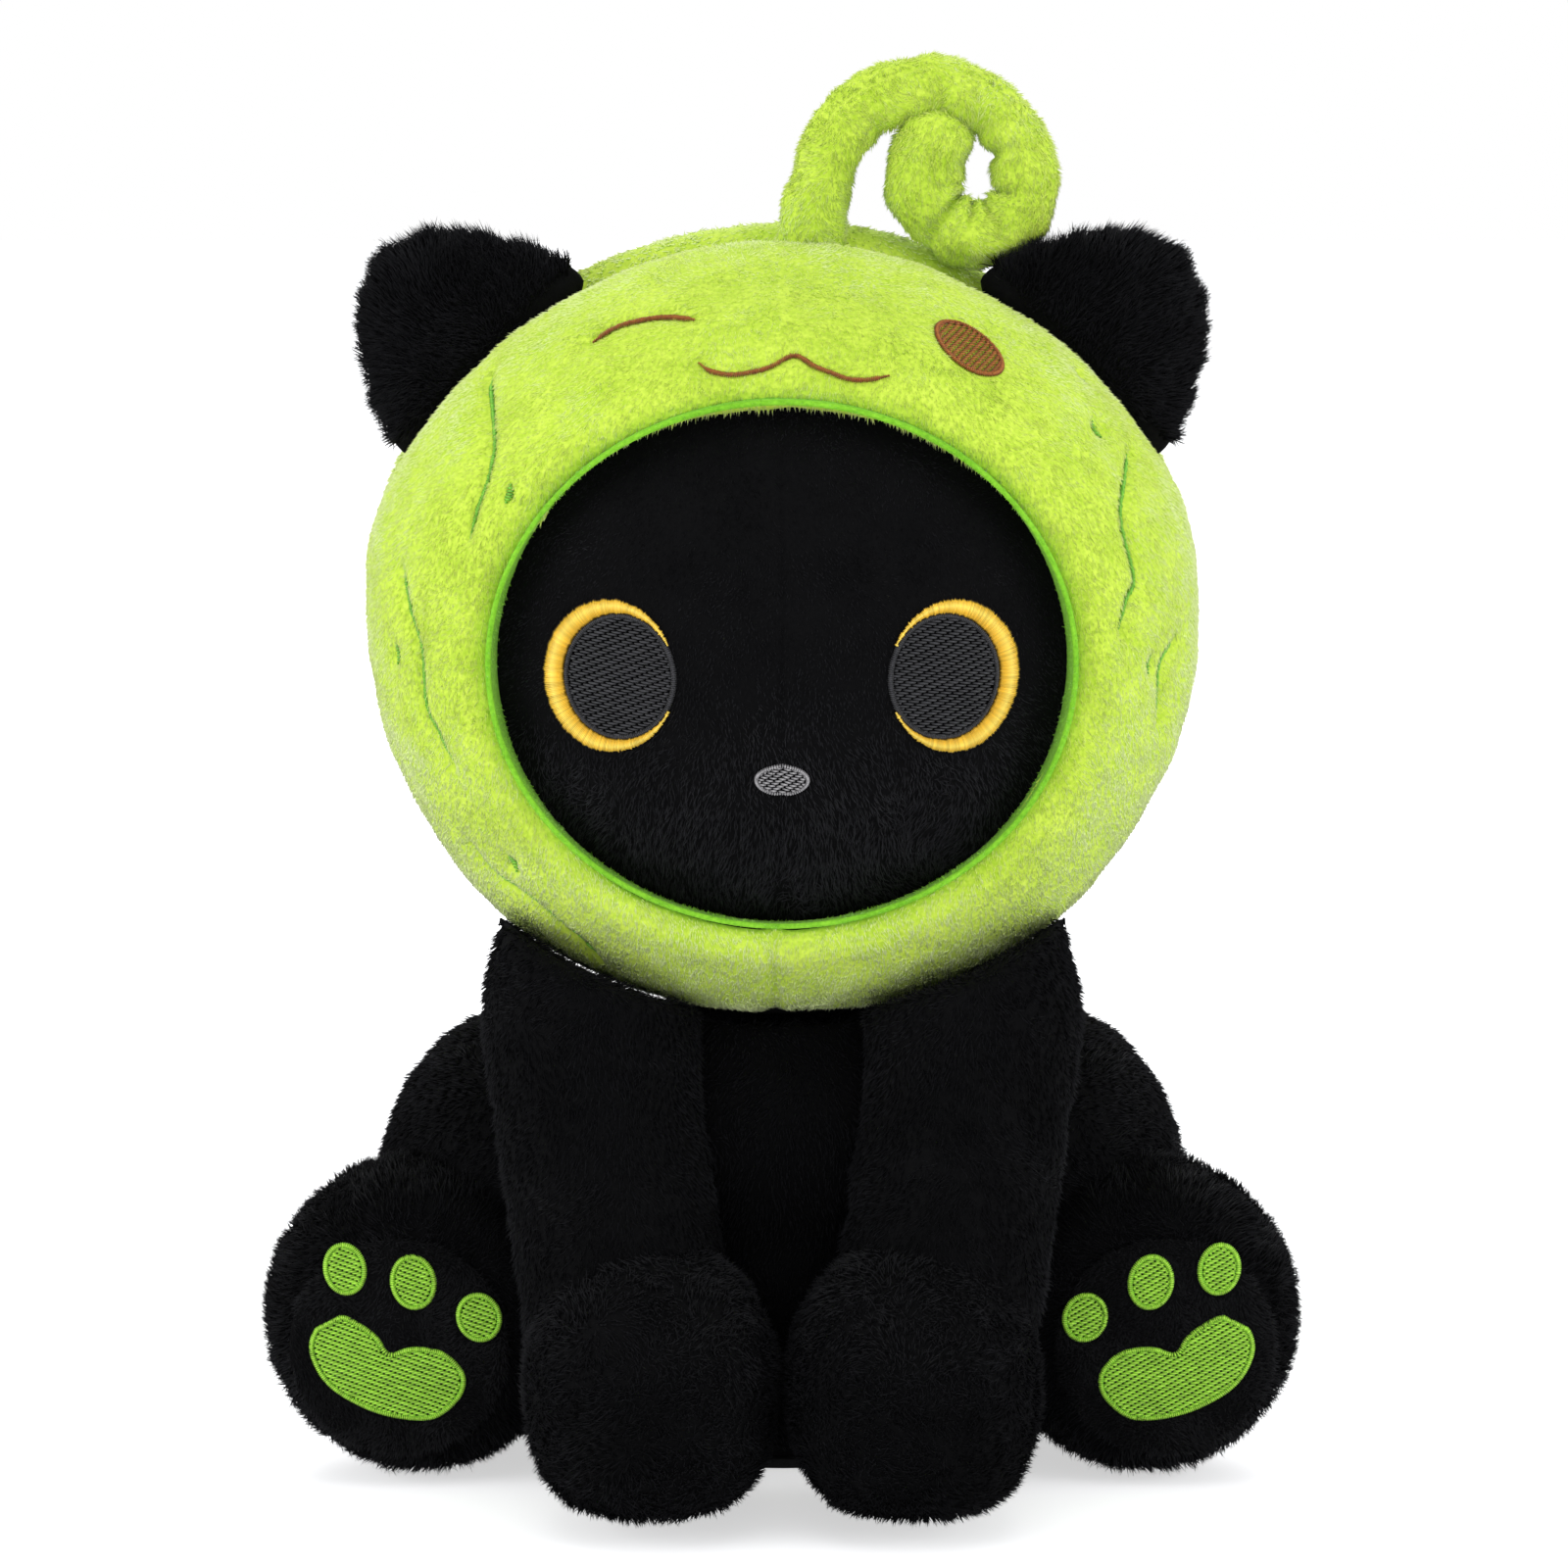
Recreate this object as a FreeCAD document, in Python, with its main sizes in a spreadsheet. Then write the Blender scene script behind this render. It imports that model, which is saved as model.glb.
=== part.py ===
import FreeCAD, Part
import Sketcher
import math
import os

from FreeCAD import Placement, Rotation, Vector

# Seated plush cat in a plush hood with a curled stem.
# Millimetres, +Z up, the face looks along -Y, left and right as seen from the front.
# The origin is the centre of the flat seat panel that the toy rests on.

doc = FreeCAD.newDocument("plush_cat")
sheet = doc.addObject("Spreadsheet::Sheet", "Sizes")

SIZES = [
    # cloth, stuffing and room between pieces
    ("hood_cloth", 2.4, "thickness of the long-pile hood cloth"),
    ("hood_padding", 7.0, "fibre padding quilted under the hood cloth"),
    ("facing_cloth", 1.8, "short-pile facing inside the face opening"),
    ("skin_cloth", 1.8, "thickness of the black plush"),
    ("pouch_cloth", 0.8, "cloth of the pellet pouch"),
    ("thread_height", 0.9, "how far satin stitches stand off the cloth"),
    ("sewn_gap", 0.2, "room between two pieces of one body"),
    ("seam_gap", 0.8, "room between two bodies at a flat seam"),
    ("flex_gap", 2.0, "room under a piece that flexes on the hood"),
    # hood, an ellipsoid round the head
    ("hood_x", 88.5, "half width"),
    ("hood_y", 72.0, "half depth"),
    ("hood_z", 81.0, "half height"),
    ("head_back", -30.0, "Y of the head's middle"),
    ("hood_seam", 2.0, "Y of the front panel's rear seam, from the head's middle"),
    ("face_open_x", 59.5, "half width of the face opening"),
    ("face_open_z", 53.2, "half height of the face opening"),
    ("face_open_drop", 4.4, "face opening's middle below the head's"),
    ("neck_hole", 31.0, "radius of the hood's neck hole"),
    # curled stem
    ("stem_radius", 6.7, "radius of the stuffed stem"),
    ("stem_side", 5.2, "X of the stem's root"),
    ("stem_back", 8.0, "Y of the stem, from the head's middle"),
    # ears
    ("ear_base", 50.0, "length of an ear's sewn base"),
    ("ear_reach", 34.0, "height of an ear over its base"),
    ("ear_depth", 15.0, "thickness of a stuffed ear"),
    ("ear_tip", 15.0, "rounding of an ear's tip"),
    ("ear_angle", 44.5, "place of an ear, degrees down from the crown"),
    ("crown_scale", "=hood_x / 88.5", "size factor of the stem and ears, which follow the hood"),
    # embroidered face
    ("eye_x", 11.6, "half width of a dark pupil"),
    ("eye_z", 13.0, "half height of a dark pupil"),
    ("ring_x", 13.6, "half width of the yellow ring behind a pupil"),
    ("ring_z", 15.8, "half height of the yellow ring"),
    ("ring_shift", 2.2, "how far the ring sits outwards of the pupil"),
    ("eye_azimuth", 24.7, "degrees from the middle of the face to an eye"),
    ("eye_drop", 4.3, "degrees from the head's middle down to the eyes"),
    ("nose_x", 5.6, "half width of the nose"),
    ("nose_z", 3.2, "half height of the nose"),
    ("nose_drop", 20.9, "degrees from the head's middle down to the nose"),
    # neck and torso
    ("neck_radius", 19.0, "radius of the stuffed neck"),
    ("neck_back", -25.0, "Y of the neck's middle"),
    ("chest_x", 34.0, "half width of the chest"),
    ("chest_y", 24.0, "half depth of the chest"),
    ("chest_z", 42.0, "half height of the chest"),
    ("chest_back", -26.0, "Y of the chest's middle"),
    ("chest_up", 80.0, "Z of the chest's middle"),
    ("chest_top", 102.5, "Z of the flat top of the chest"),
    ("neck_height", 8.5, "length of the neck between its two gaps"),
    ("head_up", "=chest_top + seam_gap + neck_height + flex_gap + hood_z"
     " - hood_cloth - hood_padding - 2 * sewn_gap", "Z of the head's middle"),
    ("belly_x", 50.0, "half width of the belly"),
    ("belly_y", 46.0, "half depth of the belly"),
    ("belly_z", 52.0, "half height of the belly"),
    ("belly_up", 42.0, "Z of the belly's middle"),
    ("hip_side", 43.2, "X of the flat hip seam on the torso"),
    ("seat_x", 30.0, "half width of the seat panel"),
    ("seat_y", 27.0, "half depth of the seat panel"),
    ("seat_cloth", 2.0, "thickness of the seat panel"),
    ("pouch_x", 27.0, "half width of the pellet pouch"),
    ("pouch_z", 13.0, "half height of the pellet pouch"),
    # front legs
    ("shoulder_side", 39.0, "X of a shoulder's middle"),
    ("shoulder_back", -56.0, "Y of the shoulder axis"),
    ("shoulder_up", 88.0, "Z of the shoulder axis"),
    ("shoulder_x", 22.0, "half width of the shoulder"),
    ("shoulder_radius", 25.0, "radius of the shoulder about its axis"),
    ("leg_radius", 21.5, "radius of a front leg"),
    ("paw_x", 27.1, "half width of a front paw"),
    ("paw_y", 28.0, "half depth of a front paw"),
    ("paw_z", 30.5, "half height of a front paw"),
    ("paw_side", "=paw_x + 0.5", "X of a front paw's middle, beside the other paw"),
    ("paw_back", -72.0, "Y of a front paw's middle"),
    # hind legs
    ("haunch_x", 33.0, "half width of a haunch"),
    ("haunch_y", 42.0, "half depth of a haunch"),
    ("haunch_z", 48.0, "half height of a haunch"),
    ("haunch_side", 58.0, "X of a haunch's middle"),
    ("haunch_back", 2.0, "Y of the hip axis"),
    ("haunch_up", 48.5, "Z of the hip axis"),
    ("foot_x", 30.0, "half width of a hind foot"),
    ("foot_y", 28.0, "half depth of a hind foot"),
    ("foot_z", 31.0, "half height of a hind foot"),
    ("foot_side", 81.5, "X of a hind foot's middle"),
    ("foot_back", -25.0, "Y of a hind foot's middle"),
    ("sole_reach", 17.0, "distance of the flat sole in front of the foot's middle"),
    ("sole_radius", "=0.75 * foot_x", "radius of the sole panel"),
    ("pad_size", "=foot_x / 30", "size factor of the embroidered paw pads"),
    # tail
    ("tail_radius", 8.0, "radius of the stuffed tail"),
    ("tail_up", 30.0, "Z of the tail's root"),
]

for row, (alias, value, note) in enumerate(SIZES, start=1):
    sheet.set(f"A{row}", note)
    sheet.set(f"B{row}", str(value))
    sheet.setAlias(f"B{row}", alias)
doc.recompute()

SIDES = (("left", -1), ("right", 1))
NODES = []


def size(alias):
    return float(sheet.get(alias))


def bind(obj, **expressions):
    """Bind properties of an object to the sheet; base_x, base_y and base_z place it."""
    for name, formula in expressions.items():
        path = name
        if name.startswith("base_"):
            path = "Placement.Base." + name[-1]
        obj.setExpression(path, str(formula))
    return obj


def node(obj, name):
    """Mark an object as a sub-part, under the label that names its file."""
    obj.Label = name
    NODES.append(obj)
    return obj


def ellipsoid(name, half_x, half_y, half_z, at_x, at_y, at_z, sign=1):
    """Ellipsoid whose surface seam looks away from the middle on either side."""
    obj = doc.addObject("Part::Ellipsoid", name)
    obj.Placement.Rotation = Rotation(Vector(0, 0, 1), 0 if sign > 0 else 180)
    return bind(
        obj, Radius2=half_x, Radius3=half_y, Radius1=half_z,
        base_x=at_x, base_y=at_y, base_z=at_z,
    )


def block(name, x, y, z, length, width, height):
    obj = doc.addObject("Part::Box", name)
    return bind(
        obj, Length=length, Width=width, Height=height, base_x=x, base_y=y, base_z=z
    )


def cut(name, base, tool):
    obj = doc.addObject("Part::Cut", name)
    obj.Base = base
    obj.Tool = tool
    return obj


def common(name, *shapes):
    obj = doc.addObject("Part::MultiCommon", name)
    obj.Shapes = list(shapes)
    return obj


def fuse(name, *shapes):
    obj = doc.addObject("Part::MultiFuse", name)
    obj.Shapes = list(shapes)
    return obj


def group(name, *shapes):
    obj = doc.addObject("Part::Compound", name)
    obj.Links = list(shapes)
    return obj


def feature(name, shape, placement=None):
    """A shape worked out from the sheet's values, placed after it is set."""
    obj = doc.addObject("Part::Feature", name)
    obj.Shape = shape
    if placement is not None:
        obj.Placement = placement
    return obj


# ---------------------------------------------------------------- head and hood layers

def head_layer(name, inset):
    """Ellipsoid of the hood's outer shape, drawn in by an expression of the sheet."""
    return ellipsoid(
        name, f"Sizes.hood_x - ({inset})", f"Sizes.hood_y - ({inset})",
        f"Sizes.hood_z - ({inset})", 0, "Sizes.head_back", "Sizes.head_up",
    )


CLOTH_INNER = "Sizes.hood_cloth"
PADDING_OUTER = "Sizes.hood_cloth + Sizes.sewn_gap"
PADDING_INNER = f"{PADDING_OUTER} + Sizes.hood_padding"
SKIN_OUTER = f"{PADDING_INNER} + Sizes.sewn_gap"
SKIN_INNER = f"{SKIN_OUTER} + Sizes.skin_cloth"
STUFFING = f"{SKIN_INNER} + Sizes.sewn_gap"

FAR = 200  # half length of the blocks that split the head, larger than any head


def split_block(name, low_y, high_y):
    """Block across the whole head between two distances from the head's middle plane."""
    return block(
        name, -FAR, f"Sizes.head_back + ({low_y})", f"Sizes.head_up - {FAR}",
        2 * FAR, f"({high_y}) - ({low_y})", 2 * FAR,
    )


def opening_prism(name, inset):
    """Elliptic prism through the face opening, forwards from the head's middle."""
    outline = doc.addObject("Part::Ellipse", name + "_outline")
    outline.Placement.Rotation = Rotation(Vector(1, 0, 0), 90)
    bind(
        outline, MajorRadius=f"Sizes.face_open_x - ({inset})",
        MinorRadius=f"Sizes.face_open_z - ({inset})", base_x=0,
        base_y="Sizes.head_back", base_z="Sizes.head_up - Sizes.face_open_drop",
    )
    prism = doc.addObject("Part::Extrusion", name)
    prism.Base = outline
    prism.DirMode = "Custom"
    prism.Dir = Vector(0, -1, 0)
    prism.Solid = True
    prism.LengthFwd = FAR
    return prism


def neck_cylinder(name):
    hole = doc.addObject("Part::Cylinder", name)
    return bind(
        hole, Radius="Sizes.neck_hole", Height="Sizes.head_up", base_x=0,
        base_y="Sizes.neck_back", base_z=0,
    )


# Hood: front panel round the face, back panel, fibre padding and the facing of the opening.
front_half = split_block("hood_front_half", -FAR, "Sizes.hood_seam")
back_half = split_block("hood_back_half", "Sizes.hood_seam + Sizes.sewn_gap", FAR)
openings = group("hood_openings", opening_prism("face_opening", "-Sizes.sewn_gap"),
                 neck_cylinder("neck_opening"))
cloth = cut("hood_cloth_shell", head_layer("hood_outer", 0), head_layer("hood_inner", CLOTH_INNER))
front_cloth = common("hood_front_cloth", cloth, front_half)
back_cloth = common("hood_back_cloth", cloth, back_half)
node(cut("hood_front", front_cloth, openings), "hood_front_panel")
node(cut("hood_back", back_cloth, neck_cylinder("neck_opening_back")), "hood_back_panel")

padding = cut("padding_shell", head_layer("padding_outer", PADDING_OUTER),
              head_layer("padding_inner", PADDING_INNER))
node(cut("padding", padding, group(
    "padding_openings", opening_prism("padding_face_opening", "-Sizes.sewn_gap"),
    neck_cylinder("padding_neck_opening"))), "hood_padding")

facing_ring = cut("facing_ring", opening_prism("facing_outer", 0),
                  opening_prism("facing_inner", "Sizes.facing_cloth"))
rim_depth = cut("rim_depth", head_layer("rim_outer", 0),
                head_layer("rim_inner", f"{SKIN_OUTER} - Sizes.sewn_gap"))
node(common("facing", facing_ring, rim_depth), "hood_facing")

# Head: two face panels joined by the seam down the forehead, a back panel and the stuffing.
skin = cut("head_skin", head_layer("skin_outer", SKIN_OUTER), head_layer("skin_inner", SKIN_INNER))
for side, sign in SIDES:
    start = f"-{FAR}" if sign < 0 else "Sizes.sewn_gap / 2"
    quarter = block(f"face_quarter_{side}", start, f"Sizes.head_back - {FAR}",
                    f"Sizes.head_up - {FAR}", f"{FAR} - Sizes.sewn_gap / 2",
                    f"{FAR} - Sizes.sewn_gap / 2", 2 * FAR)
    node(common(f"face_{side}", skin, quarter), f"face_panel_{side}")
rear = split_block("head_rear", "Sizes.sewn_gap / 2", FAR)
node(common("head_back", skin, rear), "head_back_panel")
node(head_layer("head_stuffing", STUFFING), "head_filling")


# ---------------------------------------------------------------- embroidery

def polar(half, azimuth, elevation):
    """Point on an ellipsoid about the head's middle; azimuth 0 faces forwards."""
    turn = math.radians(azimuth)
    rise = math.radians(elevation)
    return Vector(
        half[0] * math.cos(rise) * math.sin(turn),
        size("head_back") - half[1] * math.cos(rise) * math.cos(turn),
        size("head_up") + half[2] * math.sin(rise),
    )


def layer_half(inset):
    return (size("hood_x") - inset, size("hood_y") - inset, size("hood_z") - inset)


def oval(centre, half_x, half_z, tilt=0):
    """Elliptic face in the XZ plane."""
    long_side = max(half_x, half_z)
    short_side = min(half_x, half_z)
    curve = Part.Ellipse(Vector(0, 0, 0), long_side, short_side)
    face = Part.Face(Part.Wire(curve.toShape()))
    face.rotate(Vector(0, 0, 0), Vector(0, 0, 1), tilt + (90 if half_z > half_x else 0))
    face.rotate(Vector(0, 0, 0), Vector(1, 0, 0), 90)
    face.translate(centre)
    return face


def ribbon(points, width):
    """Face in the XZ plane that follows a smooth line through the points."""
    flat = [Vector(p.x, 0, p.z) for p in points]
    line = Part.BSplineCurve()
    line.interpolate(flat)
    steps = 2 * len(points)
    one, other = [], []
    for k in range(steps + 1):
        at = line.FirstParameter + (line.LastParameter - line.FirstParameter) * k / steps
        along = line.tangent(at)[0]
        across = Vector(along.z, 0, -along.x).normalize() * (width / 2)
        one.append(line.value(at) + across)
        other.append(line.value(at) - across)
    edges = []
    for side_points in (one, other):
        edge = Part.BSplineCurve()
        edge.interpolate(side_points)
        edges.append(edge.toShape())
    edges.append(Part.makeLine(one[0], other[0]))
    edges.append(Part.makeLine(one[-1], other[-1]))
    return Part.Face(Part.Wire(Part.__sortEdges__(edges)))


def forwards(name, faces):
    """Prisms of flat XZ faces, forwards from the head's middle."""
    outline = feature(name + "_outline", Part.makeCompound(faces))
    prism = doc.addObject("Part::Extrusion", name + "_prism")
    prism.Base = outline
    prism.DirMode = "Custom"
    prism.Dir = Vector(0, -1, 0)
    prism.Solid = True
    prism.LengthFwd = FAR
    return prism


def thread_layer(name, surface):
    """Thin front layer, one stitch high, on a surface given by its inset."""
    over = head_layer(name + "_top", f"{surface} - Sizes.sewn_gap - Sizes.thread_height")
    under = head_layer(name + "_bottom", f"{surface} - Sizes.sewn_gap")
    return common(name, cut(name + "_shell", over, under), front_half)


def stitched(name, faces, layer):
    return node(common(name + "_stitches", forwards(name, faces), layer), name)


face_thread = thread_layer("face_thread", SKIN_OUTER)
hood_thread = thread_layer("hood_thread", "0")
face_inset = size("hood_cloth") + size("hood_padding") + 2 * size("sewn_gap")
face_half = layer_half(face_inset)
hood_half = layer_half(0)

# Eyes: a dark oval over a yellow ring that shows as a crescent on its outer side.
for side, sign in SIDES:
    middle = polar(face_half, sign * size("eye_azimuth"), -size("eye_drop"))
    middle.y = size("head_back")
    outwards = Vector(sign * size("ring_shift"), 0, 0)
    gap = size("sewn_gap")
    pupil = oval(middle, size("eye_x"), size("eye_z"))
    under_pupil = oval(middle, size("eye_x") + gap, size("eye_z") + gap)
    ring = oval(middle + outwards, size("ring_x"), size("ring_z")).cut(under_pupil)
    stitched(f"eye_pupil_{side}", [pupil], face_thread)
    stitched(f"eye_ring_{side}", ring.Faces, face_thread)

nose_middle = polar(face_half, 0, -size("nose_drop"))
nose_middle.y = size("head_back")
stitched("nose_patch", [oval(nose_middle, size("nose_x"), size("nose_z"))], face_thread)

# Hood motifs, placed in degrees on the hood so that they follow its size.
WINK = [(-42, 49.5), (-38.5, 53), (-32, 54.5), (-21, 55)]
MOUTH = [(-16, 46), (-10.5, 43.8), (-4, 45), (2.3, 47.3), (8, 44.6), (14, 42.7), (20, 43.3)]
RIND_LINES = [
    [(-64, 39), (-55, 33), (-50, 26), (-50, 17)],
    [(-65.5, 9.5), (-61, 2), (-59.5, -8), (-56, -18)],
    [(-62.5, -36), (-56, -42), (-49.5, -48), (-50, -55)],
    [(69, 28), (60, 22), (56.5, 14), (54, 3)],
    [(69, 0), (66, -5), (67, -12)],
]
RIND_SPOTS = [(-44, 23), (-67, -3), (-52, -36), (69, 41), (62, 32.5), (61.5, -4)]
WINK_WIDTH = 1.5
MOUTH_WIDTH = 1.3
LINE_WIDTH = 1.3
SPOT_HALF = (1.2, 2.2)
DOT_HALF = (7.6, 4.9)


def flat_on_hood(place):
    point = polar(hood_half, *place)
    point.y = size("head_back")
    return point


stitched("hood_wink_stitching", [ribbon([flat_on_hood(p) for p in WINK], WINK_WIDTH)], hood_thread)
stitched("hood_mouth_stitching", [ribbon([flat_on_hood(p) for p in MOUTH], MOUTH_WIDTH)], hood_thread)
stitched("hood_round_eye_patch", [oval(flat_on_hood((40.4, 48.2)), *DOT_HALF, tilt=-34)], hood_thread)
stitched("hood_rind_lines", [ribbon([flat_on_hood(p) for p in line], LINE_WIDTH)
                             for line in RIND_LINES], hood_thread)
stitched("hood_rind_spots", [oval(flat_on_hood(p), *SPOT_HALF) for p in RIND_SPOTS], hood_thread)


# ---------------------------------------------------------------- stuffed tubes

def arc_line(start, heading, turns, out, up):
    """Wire of tangent arcs in the plane of out and up; turns are (radius, degrees) to the right."""
    position = Vector(start)
    angle = math.radians(heading)
    edges = []
    for radius, degrees in turns:
        along = out * math.cos(angle) + up * math.sin(angle)
        right = out * math.sin(angle) - up * math.cos(angle)
        if degrees < 0:
            right = -right
        centre = position + right * radius
        turn = math.radians(abs(degrees))
        middle = centre - right * radius * math.cos(turn / 2) + along * radius * math.sin(turn / 2)
        end = centre - right * radius * math.cos(turn) + along * radius * math.sin(turn)
        edges.append(Part.Arc(position, middle, end).toShape())
        angle -= math.radians(degrees)
        position = end
    along = out * math.cos(angle) + up * math.sin(angle)
    return Part.Wire(edges), position, along


def tube(path, radius, end, end_direction):
    """Round tube along a wire of arcs, closed by a half ball at its far end."""
    first = path.Edges[0]
    start = first.valueAt(first.FirstParameter)
    direction = first.tangentAt(first.FirstParameter)
    section = Part.Wire(Part.makeCircle(radius, start, direction))
    body = path.makePipeShell([section], True, True)
    tip = Part.makeSphere(radius, end, end_direction, 0, 90, 360)
    return body.fuse(tip)


def stuffed_tube(name, path, end, end_direction, radius, clear_of):
    """Cover and filling of a stuffed tube, both cut back from the piece it is sewn to."""
    wall = size("skin_cloth")
    cover_outer = feature(name + "_outer", tube(path, radius, end, end_direction))
    cover_inner = feature(name + "_inner", tube(path, radius - wall, end, end_direction))
    core = feature(name + "_core",
                   tube(path, radius - wall - size("sewn_gap"), end, end_direction))
    wall_shape = cut(name + "_wall", cover_outer, cover_inner)
    node(cut(name + "_cover_cut", wall_shape, clear_of), f"{name}_cover")
    node(cut(name + "_filling_cut", core, clear_of), f"{name}_filling")


RIGHT = Vector(1, 0, 0)
BACK = Vector(0, 1, 0)
UP = Vector(0, 0, 1)

# Stem: a stuffed tube that rises from the crown and curls over to its right.
STEM_DEPTH = 5.0  # how far its path starts under the crown
STEM_TURNS = [(76, 17), (22, 68.5), (20.5, 90), (10.8, 182)]
stem_root = Vector(size("stem_side"), size("head_back") + size("stem_back"),
                   size("head_up") + size("hood_z") - STEM_DEPTH)
crown_scale = size("crown_scale")
stem_turns = [(radius * crown_scale, degrees) for radius, degrees in STEM_TURNS]
stem_path, stem_end, stem_end_way = arc_line(stem_root, 85.5, stem_turns, RIGHT, UP)
hood_clear = head_layer("hood_clear", "-Sizes.flex_gap")
stuffed_tube("stem", stem_path, stem_end, stem_end_way, size("stem_radius") * crown_scale,
             hood_clear)

# Tail: a stuffed tube sewn low on the back, rising in a soft S behind the torso.
TAIL_DEPTH = 4.0  # how far its path starts inside the back
TAIL_TURNS = [(22, -72), (60, 45)]
tail_drop = (size("tail_up") - size("belly_up")) / size("belly_z")
tail_root = Vector(0, size("belly_y") * math.sqrt(1 - tail_drop ** 2) - TAIL_DEPTH,
                   size("tail_up"))
tail_path, tail_end, tail_end_way = arc_line(tail_root, 5, TAIL_TURNS, BACK, UP)


# ---------------------------------------------------------------- ears

def ear_profile(body, inset):
    """Rounded triangle in the XZ plane, its base on the X axis."""
    sketch = body.newObject("Sketcher::SketchObject", body.Name + "_outline")
    plane = next(f for f in body.Origin.OriginFeatures if f.Role == "XZ_Plane")
    sketch.AttachmentSupport = [(plane, "")]
    sketch.MapMode = "FlatFace"
    half = size("ear_base") * crown_scale / 2 - inset
    top = size("ear_reach") * crown_scale - inset
    tip = size("ear_tip") * crown_scale - inset
    centre = Vector(0, top - tip, 0)
    # the slanted side touches the tip's arc
    foot = Vector(half, -size("ear_tip") * crown_scale, 0)
    span = (foot - centre).Length
    lean = math.atan2(foot.y - centre.y, foot.x - centre.x) + math.acos(tip / span)
    touch = centre + Vector(math.cos(lean), math.sin(lean), 0) * tip
    mirror_touch = Vector(-touch.x, touch.y, 0)
    mirror_foot = Vector(-foot.x, foot.y, 0)
    sketch.addGeometry(Part.LineSegment(mirror_foot, foot))
    sketch.addGeometry(Part.LineSegment(foot, touch))
    sketch.addGeometry(Part.ArcOfCircle(
        Part.Circle(centre, Vector(0, 0, 1), tip), lean, math.pi - lean))
    sketch.addGeometry(Part.LineSegment(mirror_touch, mirror_foot))
    return sketch


def ear_body(name, inset, place):
    body = doc.addObject("PartDesign::Body", name)
    pad = body.newObject("PartDesign::Pad", name + "_pad")
    pad.Profile = ear_profile(body, inset)
    pad.Midplane = True
    pad.setExpression("Length", f"Sizes.ear_depth * Sizes.crown_scale - {2 * inset}")
    doc.recompute()
    rounding = body.newObject("PartDesign::Fillet", name + "_rounding")
    rounding.Base = (pad, [f"Edge{i + 1}" for i, edge in enumerate(pad.Shape.Edges)
                           if abs(edge.CenterOfMass.y) > size("ear_depth") * crown_scale / 4])
    rounding.Radius = EAR_ROUNDING * crown_scale - inset
    body.Placement = place
    return body


EAR_ROUNDING = 6.0
for side, sign in SIDES:
    lean = math.radians(size("ear_angle"))
    ear_base = Vector(sign * size("hood_x") * math.sin(lean),
                      size("head_back") + size("hood_seam"),
                      size("head_up") + size("hood_z") * math.cos(lean))
    place = Placement(ear_base, Rotation(Vector(0, 1, 0), sign * size("ear_angle")))
    wall = size("skin_cloth")
    outer = ear_body(f"ear_{side}_outer", 0, place)
    inner = ear_body(f"ear_{side}_inner", wall, place)
    core = ear_body(f"ear_{side}_core", wall + size("sewn_gap"), place)
    shell = cut(f"ear_{side}_shell", outer, inner)
    node(cut(f"ear_{side}_cut", shell, hood_clear), f"ear_cover_{side}")
    node(cut(f"ear_{side}_core_cut", core, hood_clear), f"ear_filling_{side}")


# ---------------------------------------------------------------- front legs

def leg_shape(name, sign, inset, column_inset=None):
    """Shoulder, turned about the shoulder axis, and the leg's long column."""
    shoulder = ellipsoid(
        name + "_shoulder", f"Sizes.shoulder_x - ({inset})",
        f"Sizes.shoulder_radius - ({inset})", f"Sizes.shoulder_radius - ({inset})",
        f"{sign} * Sizes.shoulder_side", "Sizes.shoulder_back", "Sizes.shoulder_up", sign,
    )
    wrist = Vector(sign * (size("paw_side") + WRIST_OUT), size("paw_back") + WRIST_BACK,
                   size("paw_z") + WRIST_UP)
    top = Vector(sign * (size("shoulder_side") - LEG_TOP_IN), size("shoulder_back"),
                 size("shoulder_up"))
    column_inset = column_inset or inset
    length = (top - wrist).Length
    way = (top - wrist) / length
    column = doc.addObject("Part::Cylinder", name + "_column")
    column.Placement.Rotation = Rotation(Vector(0, 0, 1), way)
    bind(column, Radius=f"Sizes.leg_radius - ({column_inset})",
         Height=f"{length} - ({column_inset})", base_x=f"{wrist.x} + {way.x} * ({column_inset})",
         base_y=f"{wrist.y} + {way.y} * ({column_inset})",
         base_z=f"{wrist.z} + {way.z} * ({column_inset})")
    return fuse(name, shoulder, column)


WRIST_OUT = 2.0
WRIST_BACK = 2.0
WRIST_UP = 9.5
LEG_TOP_IN = 1.0


def paw_shape(name, sign, inset):
    return ellipsoid(
        name, f"Sizes.paw_x - ({inset})", f"Sizes.paw_y - ({inset})",
        f"Sizes.paw_z - ({inset})", f"{sign} * Sizes.paw_side", "Sizes.paw_back",
        "Sizes.paw_z", sign,
    )


CORE = "Sizes.skin_cloth + Sizes.sewn_gap"
for side, sign in SIDES:
    leg_room = leg_shape(f"leg_{side}_room", sign, "-Sizes.sewn_gap")
    node(cut(f"leg_{side}_cover", leg_shape(f"leg_{side}_outer", sign, 0),
             leg_shape(f"leg_{side}_inner", sign, "Sizes.skin_cloth")), f"front_leg_cover_{side}")
    node(leg_shape(f"leg_{side}_core", sign, CORE), f"front_leg_filling_{side}")
    paw_shell = cut(f"paw_{side}_shell", paw_shape(f"paw_{side}_outer", sign, 0),
                    paw_shape(f"paw_{side}_inner", sign, "Sizes.skin_cloth"))
    node(cut(f"paw_{side}_cover", paw_shell, leg_room), f"front_paw_cover_{side}")
    node(cut(f"paw_{side}_core_cut", paw_shape(f"paw_{side}_core", sign, CORE), leg_room),
         f"front_paw_filling_{side}")


# ---------------------------------------------------------------- torso and neck

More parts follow.
